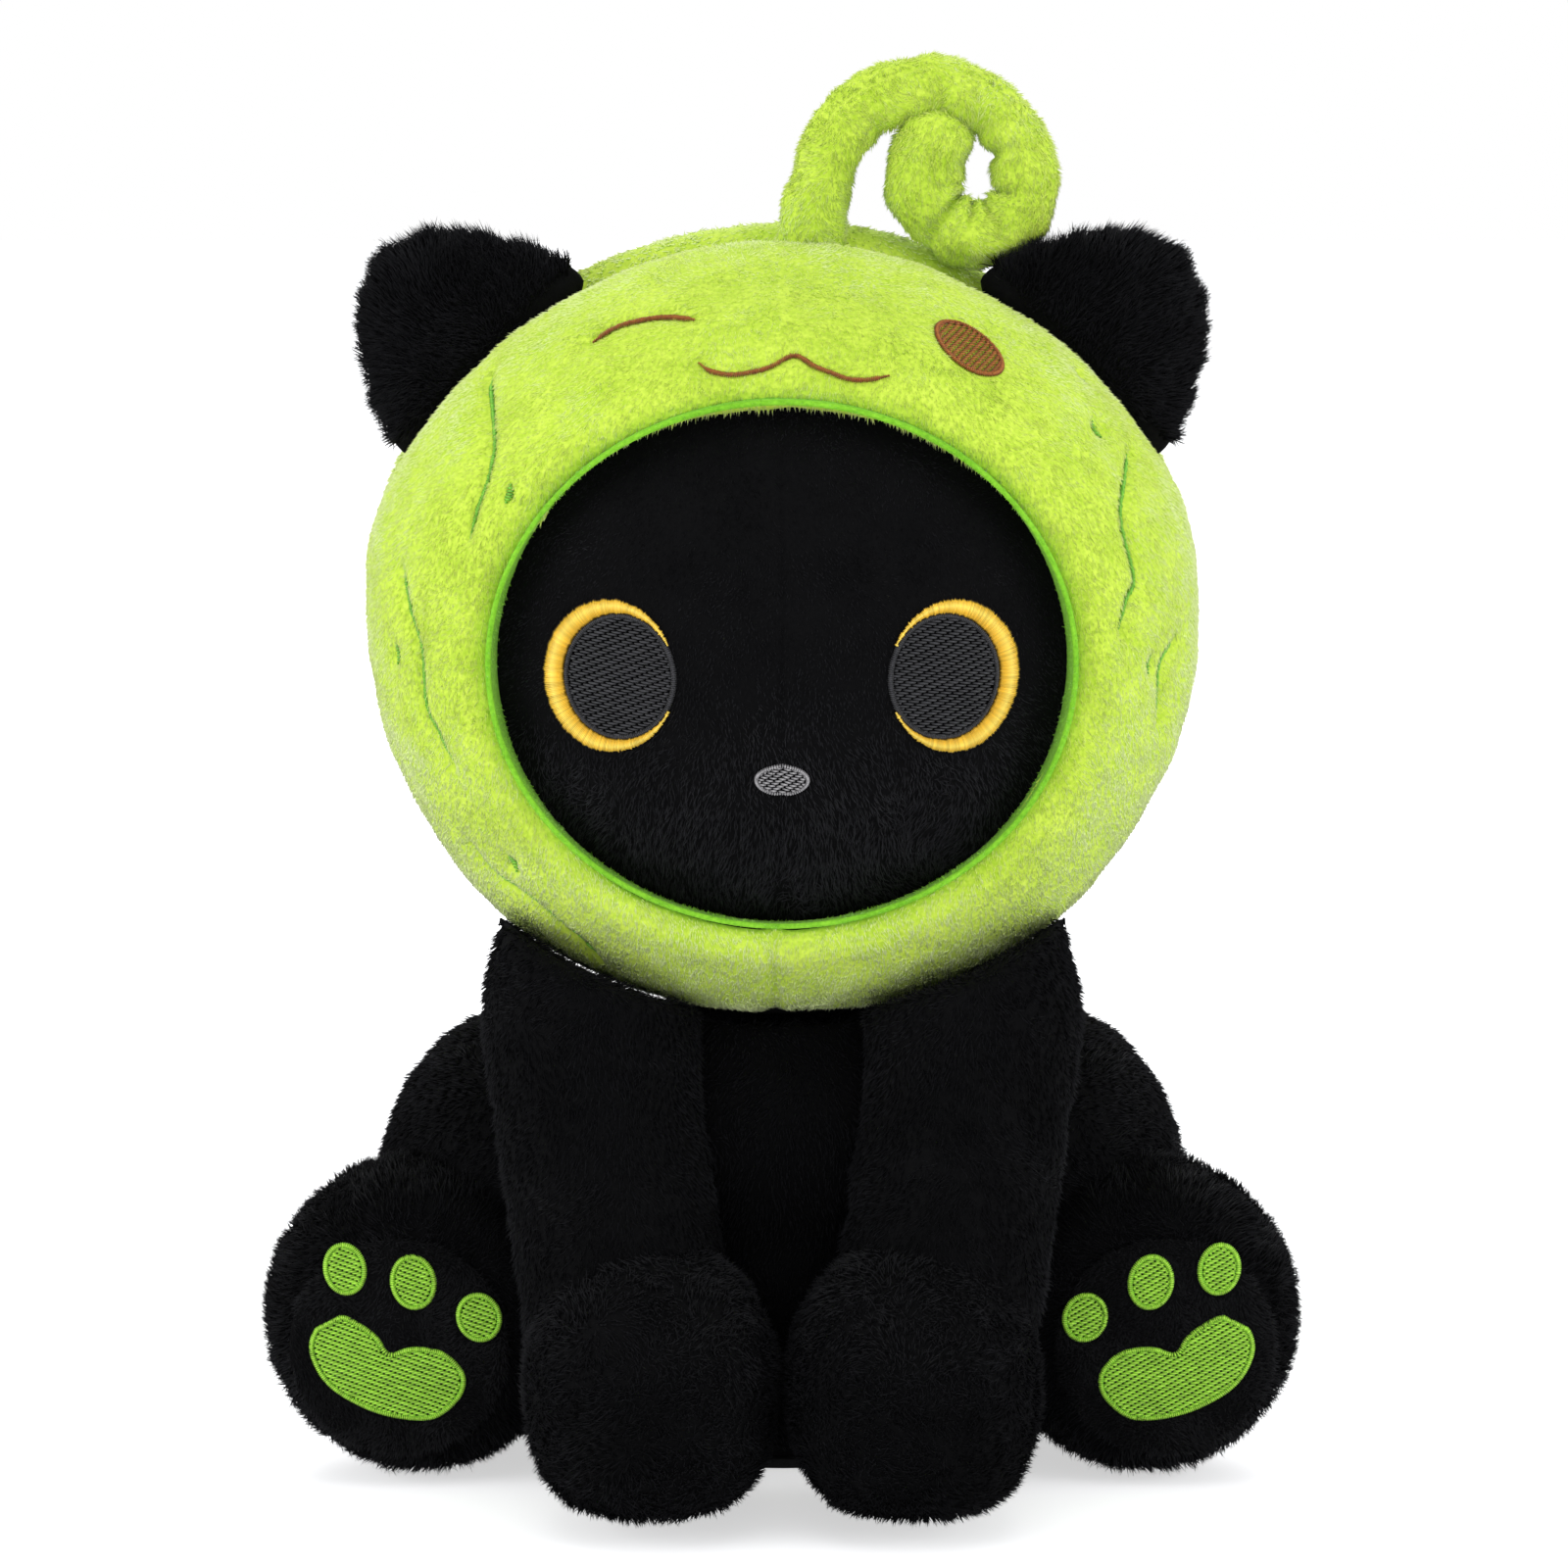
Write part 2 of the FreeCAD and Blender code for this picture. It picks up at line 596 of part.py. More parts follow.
def torso_shape(name, inset):
    """Belly and chest, flat at the seat, the neck and both hips, hollowed at the shoulders."""
    belly = ellipsoid(name + "_belly", f"Sizes.belly_x - ({inset})", f"Sizes.belly_y - ({inset})",
                      f"Sizes.belly_z - ({inset})", 0, 0, "Sizes.belly_up")
    chest = ellipsoid(name + "_chest", f"Sizes.chest_x - ({inset})", f"Sizes.chest_y - ({inset})",
                      f"Sizes.chest_z - ({inset})", 0, "Sizes.chest_back", "Sizes.chest_up")
    limits = block(name + "_limits", f"-Sizes.hip_side + {inset}", -FAR,
                   f"Sizes.seat_cloth + Sizes.sewn_gap + {inset}",
                   f"2 * (Sizes.hip_side - ({inset}))", 2 * FAR,
                   f"Sizes.chest_top - Sizes.seat_cloth - Sizes.sewn_gap - 2 * ({inset})")
    trunk = common(name + "_trunk", fuse(name + "_pear", belly, chest), limits)
    shoulders = group(name + "_shoulder_room", *[
        leg_shape(f"{name}_room_{side}", sign, f"-Sizes.seam_gap - ({inset})",
                  f"-Sizes.flex_gap - ({inset})")
        for side, sign in SIDES])
    return cut(name, trunk, shoulders)


def pouch_shape(name, inset):
    """Low round pouch of pellets, just over the seat panel."""
    return ellipsoid(
        name, f"Sizes.pouch_x - ({inset})", f"Sizes.pouch_x - ({inset})",
        f"Sizes.pouch_z - ({inset})", 0, 0,
        "Sizes.seat_cloth + 3 * Sizes.sewn_gap + Sizes.skin_cloth + Sizes.pouch_z",
    )


node(cut("torso_shell", torso_shape("torso_outer", 0),
         torso_shape("torso_inner", "Sizes.skin_cloth")), "torso_cover")
node(cut("torso_core_cut", torso_shape("torso_core", CORE),
         pouch_shape("pouch_room", "-Sizes.sewn_gap")), "torso_filling")
node(cut("pouch_shell", pouch_shape("pouch_outer", 0),
         pouch_shape("pouch_inner", "Sizes.pouch_cloth")), "pellet_pouch")
node(pouch_shape("pellets", "Sizes.pouch_cloth + Sizes.sewn_gap"), "pellet_filling")

seat_body = doc.addObject("PartDesign::Body", "seat_body")
seat_sketch = seat_body.newObject("Sketcher::SketchObject", "seat_outline")
seat_sketch.AttachmentSupport = [
    (next(f for f in seat_body.Origin.OriginFeatures if f.Role == "XY_Plane"), "")]
seat_sketch.MapMode = "FlatFace"
seat_sketch.addGeometry(Part.Ellipse(Vector(0, 0, 0), size("seat_x"), size("seat_y")))
seat_pad = seat_body.newObject("PartDesign::Pad", "seat_pad")
seat_pad.Profile = seat_sketch
seat_pad.setExpression("Length", "Sizes.seat_cloth")
node(seat_body, "seat_panel")


def neck_cylinders(name, inset):
    """Short upright neck between the flat chest and the underside of the head."""
    neck = doc.addObject("Part::Cylinder", name)
    skin_inset = (f"(Sizes.hood_cloth + Sizes.hood_padding + 2 * Sizes.sewn_gap)")
    return bind(
        neck, Radius=f"Sizes.neck_radius - ({inset})",
        Height=(f"Sizes.head_up - Sizes.hood_z + {skin_inset} - Sizes.flex_gap"
                f" - Sizes.chest_top - Sizes.seam_gap - 2 * ({inset})"),
        base_x=0, base_y="Sizes.neck_back",
        base_z=f"Sizes.chest_top + Sizes.seam_gap + {inset}",
    )


node(cut("neck_shell", neck_cylinders("neck_outer", 0),
         neck_cylinders("neck_inner", "Sizes.skin_cloth")), "neck_cover")
node(neck_cylinders("neck_core", CORE), "neck_filling")

belly_clear = ellipsoid("belly_clear", "Sizes.belly_x + Sizes.flex_gap",
                        "Sizes.belly_y + Sizes.flex_gap", "Sizes.belly_z + Sizes.flex_gap",
                        0, 0, "Sizes.belly_up")
stuffed_tube("tail", tail_path, tail_end, tail_end_way, size("tail_radius"), belly_clear)


# ---------------------------------------------------------------- hind legs

def haunch_shape(name, sign, inset):
    """Haunch with a flat inner side at the hip seam."""
    whole = ellipsoid(
        name + "_whole", f"Sizes.haunch_x - ({inset})", f"Sizes.haunch_y - ({inset})",
        f"Sizes.haunch_z - ({inset})", f"{sign} * Sizes.haunch_side", "Sizes.haunch_back",
        "Sizes.haunch_up", sign,
    )
    inner_x = f"Sizes.hip_side + Sizes.seam_gap + ({inset})"
    start = inner_x if sign > 0 else f"-({inner_x}) - {FAR}"
    outside = block(name + "_side", start, -FAR, -FAR, FAR, 2 * FAR, 2 * FAR)
    return common(name, whole, outside)


def foot_shape(name, sign, inset):
    """Foot with a flat front that takes the sole panel."""
    whole = ellipsoid(
        name + "_whole", f"Sizes.foot_x - ({inset})", f"Sizes.foot_y - ({inset})",
        f"Sizes.foot_z - ({inset})", f"{sign} * Sizes.foot_side", "Sizes.foot_back",
        "Sizes.foot_z", sign,
    )
    behind = block(name + "_limit", -FAR, f"Sizes.foot_back - Sizes.sole_reach + ({inset})",
                   -FAR, 2 * FAR, FAR, 2 * FAR)
    return common(name, whole, behind)


def flat_body(name, side, sign, height_formula, place_y, draw):
    """Pad of a flat outline that stands on the XZ plane and faces forwards."""
    body = doc.addObject("PartDesign::Body", f"{name}_{side}_body")
    sketch = body.newObject("Sketcher::SketchObject", f"{name}_{side}_outline")
    sketch.AttachmentSupport = [
        (next(f for f in body.Origin.OriginFeatures if f.Role == "XZ_Plane"), "")]
    sketch.MapMode = "FlatFace"
    draw(sketch, sign)
    pad = body.newObject("PartDesign::Pad", f"{name}_{side}_pad")
    pad.Profile = sketch
    pad.setExpression("Length", height_formula)
    bind(body, base_x=f"{sign} * Sizes.foot_side", base_y=place_y, base_z="Sizes.foot_z")
    return node(body, f"{name}_{side}")


def draw_sole(sketch, sign):
    sketch.addGeometry(Part.Circle(Vector(0, 0, 0), Vector(0, 0, 1), size("sole_radius")))


# Paw pads in the plane of a right-hand sole, from the foot's middle: across outwards, up.
TOES = [((11.3, 17.0), (4.6, 5.7), 10), ((-3.2, 14.2), (4.9, 6.0), 10), ((-17.1, 6.5), (4.8, 5.4), 20)]
MAIN_PAD = [(4.6, 1.6), (10.5, 6.2), (17.4, 4.6), (18.2, -2.5), (11.6, -11.6), (1.4, -15.7),
            (-9.0, -14.2), (-14.1, -7.6), (-10.2, -1.0), (-2.4, -0.2)]


def draw_toes(sketch, sign):
    for (across, up), (half_across, half_up), tilt in TOES:
        factor = size("pad_size")
        middle = Vector(sign * across, up, 0) * factor
        lean = math.radians(90 - sign * tilt)
        along = Vector(math.cos(lean), math.sin(lean), 0)
        side_way = Vector(-along.y, along.x, 0)
        sketch.addGeometry(Part.Ellipse(
            middle + along * half_up * factor, middle + side_way * half_across * factor, middle))


def draw_main_pad(sketch, sign):
    points = [Vector(sign * across, up, 0) * size("pad_size") for across, up in MAIN_PAD]
    curve = Part.BSplineCurve()
    curve.interpolate(Points=points, PeriodicFlag=True)
    sketch.addGeometry(curve)


SOLE_FACE = "Sizes.foot_back - Sizes.sole_reach - Sizes.sewn_gap"
PAD_FACE = f"{SOLE_FACE} - Sizes.skin_cloth - Sizes.sewn_gap"
for side, sign in SIDES:
    haunch_room = haunch_shape(f"haunch_{side}_room", sign, "-Sizes.sewn_gap")
    node(cut(f"haunch_{side}_shell", haunch_shape(f"haunch_{side}_outer", sign, "0"),
             haunch_shape(f"haunch_{side}_inner", sign, "Sizes.skin_cloth")),
         f"haunch_cover_{side}")
    node(haunch_shape(f"haunch_{side}_core", sign, CORE), f"haunch_filling_{side}")
    foot_shell = cut(f"foot_{side}_shell", foot_shape(f"foot_{side}_outer", sign, "0"),
                     foot_shape(f"foot_{side}_inner", sign, "Sizes.skin_cloth"))
    node(cut(f"foot_{side}_cover", foot_shell, haunch_room), f"hind_foot_cover_{side}")
    node(cut(f"foot_{side}_core_cut", foot_shape(f"foot_{side}_core", sign, CORE), haunch_room),
         f"hind_foot_filling_{side}")
    flat_body("sole_panel", side, sign, "Sizes.skin_cloth", SOLE_FACE, draw_sole)
    flat_body("sole_main_pad", side, sign, "Sizes.thread_height", PAD_FACE, draw_main_pad)
    flat_body("sole_toe_pads", side, sign, "Sizes.thread_height", PAD_FACE, draw_toes)


# ---------------------------------------------------------------- check and write

doc.recompute()
faults = [o.Name for o in doc.Objects if "Invalid" in o.State or "Error" in o.State]
for part in NODES:
    if part.Shape.isNull() or not part.Shape.isValid() or not part.Shape.Solids:
        faults.append(part.Label)
if faults:
    raise RuntimeError("these objects failed: " + ", ".join(sorted(set(faults))))
if len({part.Label for part in NODES}) != len(NODES):
    raise RuntimeError("two sub-parts share a label")

os.makedirs("parts", exist_ok=True)
for part in NODES:
    part.Shape.exportStep(os.path.join("parts", part.Label + ".step"))
print(len(NODES), "sub-parts written")
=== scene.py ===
import math

import bpy
import numpy as np
from mathutils import Matrix, Vector


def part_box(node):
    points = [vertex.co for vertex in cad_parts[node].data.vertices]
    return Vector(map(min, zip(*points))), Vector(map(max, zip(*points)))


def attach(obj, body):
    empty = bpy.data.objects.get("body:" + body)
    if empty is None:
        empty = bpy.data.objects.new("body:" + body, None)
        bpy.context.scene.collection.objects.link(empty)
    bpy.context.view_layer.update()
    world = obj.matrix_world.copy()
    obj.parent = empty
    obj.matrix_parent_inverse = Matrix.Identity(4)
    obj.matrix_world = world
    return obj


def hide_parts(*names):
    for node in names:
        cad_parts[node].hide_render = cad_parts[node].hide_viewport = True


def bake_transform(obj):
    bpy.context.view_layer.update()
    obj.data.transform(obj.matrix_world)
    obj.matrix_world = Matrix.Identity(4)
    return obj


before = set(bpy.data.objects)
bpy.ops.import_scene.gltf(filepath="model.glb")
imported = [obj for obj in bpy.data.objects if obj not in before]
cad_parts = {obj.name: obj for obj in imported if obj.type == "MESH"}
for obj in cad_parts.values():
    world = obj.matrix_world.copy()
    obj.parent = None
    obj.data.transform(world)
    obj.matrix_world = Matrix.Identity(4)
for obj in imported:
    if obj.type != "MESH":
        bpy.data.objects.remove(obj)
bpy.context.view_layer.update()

# ---------------------------------------------------------------- camera, light and floor
# The toy sits on a white table in a white studio: one large soft lamp over it,
# weaker ones at both sides and behind, and a long lens a little above its chest.
MM = 0.001

camera = bpy.data.objects.new("camera", bpy.data.cameras.new("camera"))
bpy.context.collection.objects.link(camera)
camera.location = (0.0, -1.2183, 0.317)
look = Vector((0.0, -0.030, 0.150)) - camera.location
camera.rotation_euler = look.to_track_quat("-Z", "Y").to_euler()
camera.data.lens = 129.8
camera.data.sensor_width = 36.0
camera.data.shift_x = 0.00125
bpy.context.scene.camera = camera
bpy.context.scene.view_settings.view_transform = "Standard"


def linear(code):
    """Linear colour of an sRGB hex value."""
    values = [int(code[k:k + 2], 16) / 255 for k in (1, 3, 5)]
    curve = [v / 12.92 if v <= 0.04045 else ((v + 0.055) / 1.055) ** 2.4 for v in values]
    return (*curve, 1.0)


def add(tree, kind, settings=None, **links):
    """Add a shader node; settings name its sockets or fields, links name what feeds it."""
    node = tree.nodes.new("ShaderNode" + kind)
    for name, value in (settings or {}).items():
        if isinstance(name, int) or name in node.inputs:
            node.inputs[name].default_value = value
        else:
            setattr(node, name, value)
    for name, source in links.items():
        tree.links.new(source, node.inputs[name.replace("_", " ")])
    return node


def blank_material(name):
    material = bpy.data.materials.new(name)
    material.use_nodes = True
    material.node_tree.nodes.clear()
    return material, material.node_tree


def lamp(name, place, aim, size, power):
    light = bpy.data.lights.new(name, "AREA")
    light.size = size
    light.energy = power
    lamp_object = bpy.data.objects.new(name, light)
    lamp_object.location = place
    way = Vector(aim) - Vector(place)
    lamp_object.rotation_euler = way.to_track_quat("-Z", "Y").to_euler()
    bpy.context.collection.objects.link(lamp_object)


lamp("lamp_above", (0.0, -0.45, 1.35), (0.0, -0.03, 0.15), 1.1, 4.4)
lamp("lamp_left", (-1.3, -0.55, 0.45), (0.0, -0.03, 0.15), 0.9, 9.0)
lamp("lamp_right", (1.3, -0.55, 0.45), (0.0, -0.03, 0.15), 0.9, 8.0)
lamp("lamp_low", (0.0, -1.55, 0.08), (0.0, -0.03, 0.12), 0.8, 8.5)
lamp("lamp_behind", (0.0, 1.1, 0.9), (0.0, 0.0, 0.18), 0.8, 8.0)

world = bpy.data.worlds.new("white_studio")
world.use_nodes = True
bpy.context.scene.world = world
tree = world.node_tree
tree.nodes.clear()
rays = add(tree, "LightPath")
seen = add(tree, "Math", {"operation": "MAXIMUM"})
tree.links.new(rays.outputs["Is Camera Ray"], seen.inputs[0])
tree.links.new(rays.outputs["Is Transmission Ray"], seen.inputs[1])
soft = add(tree, "Background", {"Color": linear("#F4F6F8"), "Strength": 0.70})
white = add(tree, "Background", {"Color": (1, 1, 1, 1), "Strength": 1.0})
mixed = add(tree, "MixShader", Fac=seen.outputs[0])
tree.links.new(soft.outputs[0], mixed.inputs[1])
tree.links.new(white.outputs[0], mixed.inputs[2])
add(tree, "OutputWorld", Surface=mixed.outputs[0])

# Table top: matt white card that keeps a faint shadow where the toy touches it.
bpy.ops.mesh.primitive_plane_add(size=12.0, location=(0.0, 0.0, -0.0002))
table_top = bpy.context.object
table_top.name = "table_top"
material, tree = blank_material("matt_white_card")
card = add(tree, "BsdfDiffuse", {"Color": linear("#E4E4E6")})
rays = add(tree, "LightPath")
place = add(tree, "TexCoord")
distance = add(tree, "VectorMath", {"operation": "LENGTH"}, Vector=place.outputs["Object"])
away = add(tree, "MapRange", {"From Min": 0.25, "From Max": 0.9, "To Min": 0.56, "To Max": 1.0},
           Value=distance.outputs["Value"])
seen = add(tree, "Math", {"operation": "MULTIPLY"}, Value=rays.outputs["Is Camera Ray"])
tree.links.new(away.outputs[0], seen.inputs[1])
glow = add(tree, "Emission", {"Color": (1, 1, 1, 1)}, Strength=seen.outputs[0])
both = add(tree, "AddShader")
tree.links.new(card.outputs[0], both.inputs[0])
tree.links.new(glow.outputs[0], both.inputs[1])
add(tree, "OutputMaterial", Surface=both.outputs[0])
table_top.data.materials.append(material)

# ---------------------------------------------------------------- hood, front panel
# Long-napped lime velour over fibre padding, cut as a ring round the face.
# Its rear seam pulls in between the ears, a short seam closes it under the
# chin, and quilted lines and dimples of thread make the rind.
SIDES = (("left", -1), ("right", 1))


def corners(node):
    """Lowest and highest corner of a piece of the construction."""
    return [np.array(corner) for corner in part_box(node)]


HEAD = sum(corners("head_filling")) / 2
hood_high = corners("hood_front_panel")[1]
hood_seam_y = hood_high[1]
hood_rear_y = corners("hood_back_panel")[1][1]
neck_low, neck_high = corners("neck_cover")
HOOD_HALF = np.array([hood_high[0], hood_rear_y - HEAD[1], hood_high[2] - HEAD[2]])
FACE_OPENING = np.array([59.8, 53.9]) * MM
OPENING_DROP = 4.0 * MM
NECK_HOLE = 22 * MM
ROLL = 5.5 * MM          # radius of the rolled rim round the face
SEAM_TUCK = 3.0 * MM     # how deep the seam allowance is pulled in
HOOD_CLOTH = 1.6 * MM
HOOD_PILE = 1.5 * MM

# Rind marks in degrees round and up the hood; the thread lies in their creases.
RIND_LINES = [
    [(-70, 42), (-62, 38), (-56, 34), (-52, 30), (-50, 25), (-50, 20), (-50, 16)],
    [(-65.5, 10), (-62, 4), (-59, -2), (-59.5, -10), (-57.5, -14), (-55.5, -19)],
    [(-63, -34), (-61, -39), (-55, -42), (-50, -47), (-49, -52), (-51, -56)],
    [(70, 28), (64, 25), (58, 20), (56.5, 15), (57, 9), (54.5, 6), (53, 2)],
    [(70, -1), (66, -4), (66, -8), (68, -13)],
]
RIND_SPOTS = [(-44, 23), (-67, -3), (-52, -36), (72, 42), (62, 32.5), (61.5, -4)]
WINK = [(-42.5, 49.5), (-40, 52.4), (-35.5, 54.1), (-28.5, 55.2), (-20.5, 55)]
MOUTH = [(-16, 46), (-13.5, 44.6), (-10, 43.9), (-6.5, 44.3), (-2.5, 45.4), (2.3, 47.6),
         (6, 45.4), (9, 44.2), (12, 43), (15.5, 42.7), (20, 43.3)]
ROUND_EYE = (41.5, 48.6)
ROUND_EYE_HALF = np.array([8.7, 7.0]) * MM
ROUND_EYE_TILT = -68


def on_shell(azimuth, elevation):
    """Point of the hood's plain ellipsoid; azimuth 0 faces forwards."""
    turn, rise = np.radians(azimuth), np.radians(elevation)
    way = np.stack([np.cos(rise) * np.sin(turn), -np.cos(rise) * np.cos(turn), np.sin(rise)], -1)
    return HEAD + way * HOOD_HALF


def shell_ring(angle, phi, ahead=-1):
    """Point of the hood's plain ellipsoid at an angle from its forward or rearward axis."""
    return HEAD + HOOD_HALF * np.stack(
        [np.sin(angle) * np.cos(phi), ahead * np.cos(angle), np.sin(angle) * np.sin(phi)], -1)


def unit(vectors):
    return vectors / np.maximum(np.linalg.norm(vectors, axis=-1, keepdims=True), 1e-9)


def shell_normal(half, points):
    return unit((points - HEAD) / half ** 2)


def hump(distance, width):
    """1 at no distance, falling away like a bell past the width."""
    return np.exp(-(distance / width) ** 2)


def smooth_line(places, steps=24):
    """Catmull-Rom line through given marks."""
    marks = np.array([places[0], *places, places[-1]], float)
    line = []
    for k in range(len(places) - 1):
        before, start, end, after = marks[k:k + 4]
        t = np.linspace(0, 1, steps, endpoint=k == len(places) - 2)[:, None]
        line.append(0.5 * (2 * start + (end - before) * t
                           + (2 * before - 5 * start + 4 * end - after) * t ** 2
                           + (3 * start - before - 3 * end + after) * t ** 3))
    return np.concatenate(line)


def ripple(points, size, seed):
    """Smooth wandering value from about -1 to 1 that changes over the given size."""
    rng = np.random.default_rng(seed)
    total = np.zeros(len(points))
    for _ in range(7):
        way = rng.normal(size=3)
        way /= np.linalg.norm(way)
        wave = size * rng.uniform(0.6, 1.6)
        total += np.sin(points @ way * 2 * math.pi / wave + rng.uniform(0, 6.3))
    return total / 2.7


def nearest(points, line, reach):
    """Distance from each point to a dense line, or the reach where it is further."""
    distance = np.full(len(points), reach)
    near = np.all((points > line.min(0) - reach) & (points < line.max(0) + reach), axis=1)
    where = np.flatnonzero(near)
    for start in range(0, len(where), 4000):
        some = where[start:start + 4000]
        gaps = np.linalg.norm(points[some, None] - line[None], axis=2).min(1)
        distance[some] = np.minimum(gaps, reach)
    return distance


rind_lines = [on_shell(*smooth_line(line).T) for line in RIND_LINES]
rind_spots = [on_shell(*spot) for spot in RIND_SPOTS]
wink_line = on_shell(*smooth_line(WINK).T)
mouth_line = on_shell(*smooth_line(MOUTH).T)
round_eye_middle = on_shell(*ROUND_EYE)
eye_normal = shell_normal(HOOD_HALF, round_eye_middle[None])[0]
eye_across = np.cross(eye_normal, np.array([0.0, 0.0, -1.0]))
eye_across /= np.linalg.norm(eye_across)
eye_up = np.cross(eye_normal, eye_across)


def in_round_eye(flat, inset=0.0):
    """Whether places in the eye's own plane lie inside its tilted oval."""
    lean = math.radians(ROUND_EYE_TILT)
    turned = flat @ np.array([[math.cos(lean), -math.sin(lean)], [math.sin(lean), math.cos(lean)]])
    return np.sum((turned / (ROUND_EYE_HALF - inset)) ** 2, axis=1) < 1


def hood_lift(points):
    """How far the stuffed cloth stands off the plain ellipsoid, along its normal."""
    from_seam = points[:, 1] - hood_seam_y
    high = np.clip((points[:, 2] - HEAD[2]) / HOOD_HALF[2], 0, 1)
    ridge = 0.9 * high ** 4 * MM * hump(from_seam + 20 * MM, 9 * MM)
    dome = 7.2 * high * MM * hump(from_seam - 22 * MM, 15 * MM)
    valley = (1.2 + 6.4 * high ** 2) * MM * hump(from_seam, 6.0 * MM)
    lift = ridge + dome - valley - 0.9 * MM + 0.4 * MM * ripple(points, 46 * MM, 3)
    lift += 0.13 * MM * ripple(points, 15 * MM, 4)
    # the padding sags, so the lower part is the fullest
    down = (HEAD[2] - points[:, 2]) / HOOD_HALF[2]
    low = np.clip((down - 0.42) / 0.5, 0, 1)
    lift += 3.2 * MM * low ** 2 * (3 - 2 * low)
    # and it stands out at the sides under the ears
    wide = np.clip(np.abs(points[:, 0] - HEAD[0]) / HOOD_HALF[0], 0, 1)
    lift += 1.8 * MM * wide ** 4 * hump(down + 0.30, 0.2)
    # a short seam dents it under the chin
    front = points[:, 1] < HEAD[1]
    lift -= 0.9 * MM * (hump(points[:, 0] + 1.6 * MM, 1.5 * MM) * (points[:, 2] < HEAD[2]) * front)
    for line in rind_lines:
        gap = nearest(points, line, 9 * MM)
        lift -= (1.6 * hump(gap, 1.3 * MM) + 0.8 * hump(gap, 4.5 * MM)) * MM
    for spot in rind_spots:
        gap = np.linalg.norm((points - spot) * [1.25, 1.0, 0.85], axis=1)
        lift -= (1.7 * hump(gap, 2.0 * MM) + 0.8 * hump(gap, 5 * MM)) * MM
    for line, depth in ((wink_line, 0.7), (mouth_line, 0.6)):
        gap = nearest(points, line, 7 * MM)
        lift -= depth * MM * hump(gap, 1.8 * MM)
    eye_gap = np.linalg.norm(points - round_eye_middle, axis=1)
    return lift - 0.7 * MM * np.exp(-(eye_gap / (7.5 * MM)) ** 4)


def on_hood(points, height=0.0):
    """Points of the plain ellipsoid moved out to the stuffed cloth, and a height over it."""
    height = np.asarray(height, float)
    return points + shell_normal(HOOD_HALF, points) * (hood_lift(points) + height)[:, None]


def only(obj):
    """Deselect everything, then select one object and make it active."""
    bpy.ops.object.select_all(action="DESELECT")
    obj.select_set(True)
    bpy.context.view_layer.objects.active = obj


def points_of(obj):
    flat = np.empty(len(obj.data.vertices) * 3, np.float32)
    obj.data.vertices.foreach_get("co", flat)
    return flat.reshape(-1, 3).astype(float)


def place_points(obj, points):
    obj.data.vertices.foreach_set("co", np.ascontiguousarray(points, np.float32).ravel())
    obj.data.update()


def ball(name, centre, half, segments, rings, pole="Z"):
    """UV sphere shaped to an ellipsoid, its poles on the given axis."""
    bpy.ops.object.select_all(action="DESELECT")
    bpy.ops.mesh.primitive_uv_sphere_add(segments=segments, ring_count=rings, radius=1.0)
    obj = bpy.context.object
    obj.name = name
    if pole == "Y":
        obj.rotation_euler = (math.pi / 2, 0, 0)
        bpy.ops.object.transform_apply(rotation=True)
    obj.scale = tuple(half)
    obj.location = tuple(centre)
    bpy.ops.object.transform_apply(location=True, rotation=False, scale=True)
    return obj


def drop_points(obj, doomed):
    """Delete the vertices that a mask names, in edit mode."""
    only(obj)
    bpy.ops.object.mode_set(mode="EDIT")
    bpy.ops.mesh.select_all(action="DESELECT")
    bpy.ops.object.mode_set(mode="OBJECT")
    for kind in ("edges", "polygons"):
        items = getattr(obj.data, kind)
        items.foreach_set("select", np.zeros(len(items), bool))
    obj.data.vertices.foreach_set("select", doomed)
    bpy.ops.object.mode_set(mode="EDIT")
    bpy.ops.mesh.delete(type="VERT")
    bpy.ops.object.mode_set(mode="OBJECT")


def boundary(obj):
    """Mask of the vertices on the open edges of a mesh."""
    loops = np.empty(len(obj.data.loops), int)
    obj.data.loops.foreach_get("edge_index", loops)
    used = np.bincount(loops, minlength=len(obj.data.edges))
    ends = np.empty(len(obj.data.edges) * 2, int)
    obj.data.edges.foreach_get("vertices", ends)
    mask = np.zeros(len(obj.data.vertices), bool)
    mask[ends.reshape(-1, 2)[used == 1].ravel()] = True
    return mask


def modify(obj, kind, **settings):
    """Add a modifier with its settings and apply it."""
    only(obj)
    modifier = obj.modifiers.new(kind.lower(), kind)
    for name, value in settings.items():
        setattr(modifier, name, value)
    if kind == "SUBSURF":
        modifier.render_levels = modifier.levels
    bpy.ops.object.modifier_apply(modifier=modifier.name)


def shade_smooth(obj):
    only(obj)
    bpy.ops.object.shade_smooth()


def shell_share(obj):
    """Places of a mesh's points in the hood's ellipsoid, whose surface is at 1."""
    return (points_of(obj) - HEAD) / HOOD_HALF


def opening_angle(phi, wider=0.0):
    """Angle from the forward axis at which the face opening cuts the hood."""
    cos, sin = np.cos(phi), np.sin(phi)
    wide, high = FACE_OPENING[0] + wider, FACE_OPENING[1] + wider
    a = (HOOD_HALF[0] * cos / wide) ** 2 + (HOOD_HALF[2] * sin / high) ** 2
    b = 2 * HOOD_HALF[2] * sin * OPENING_DROP / high ** 2
    c = OPENING_DROP ** 2 / high ** 2 - 1
    return np.arcsin(np.clip((-b + np.sqrt(b * b - 4 * a * c)) / (2 * a), 0, 1))


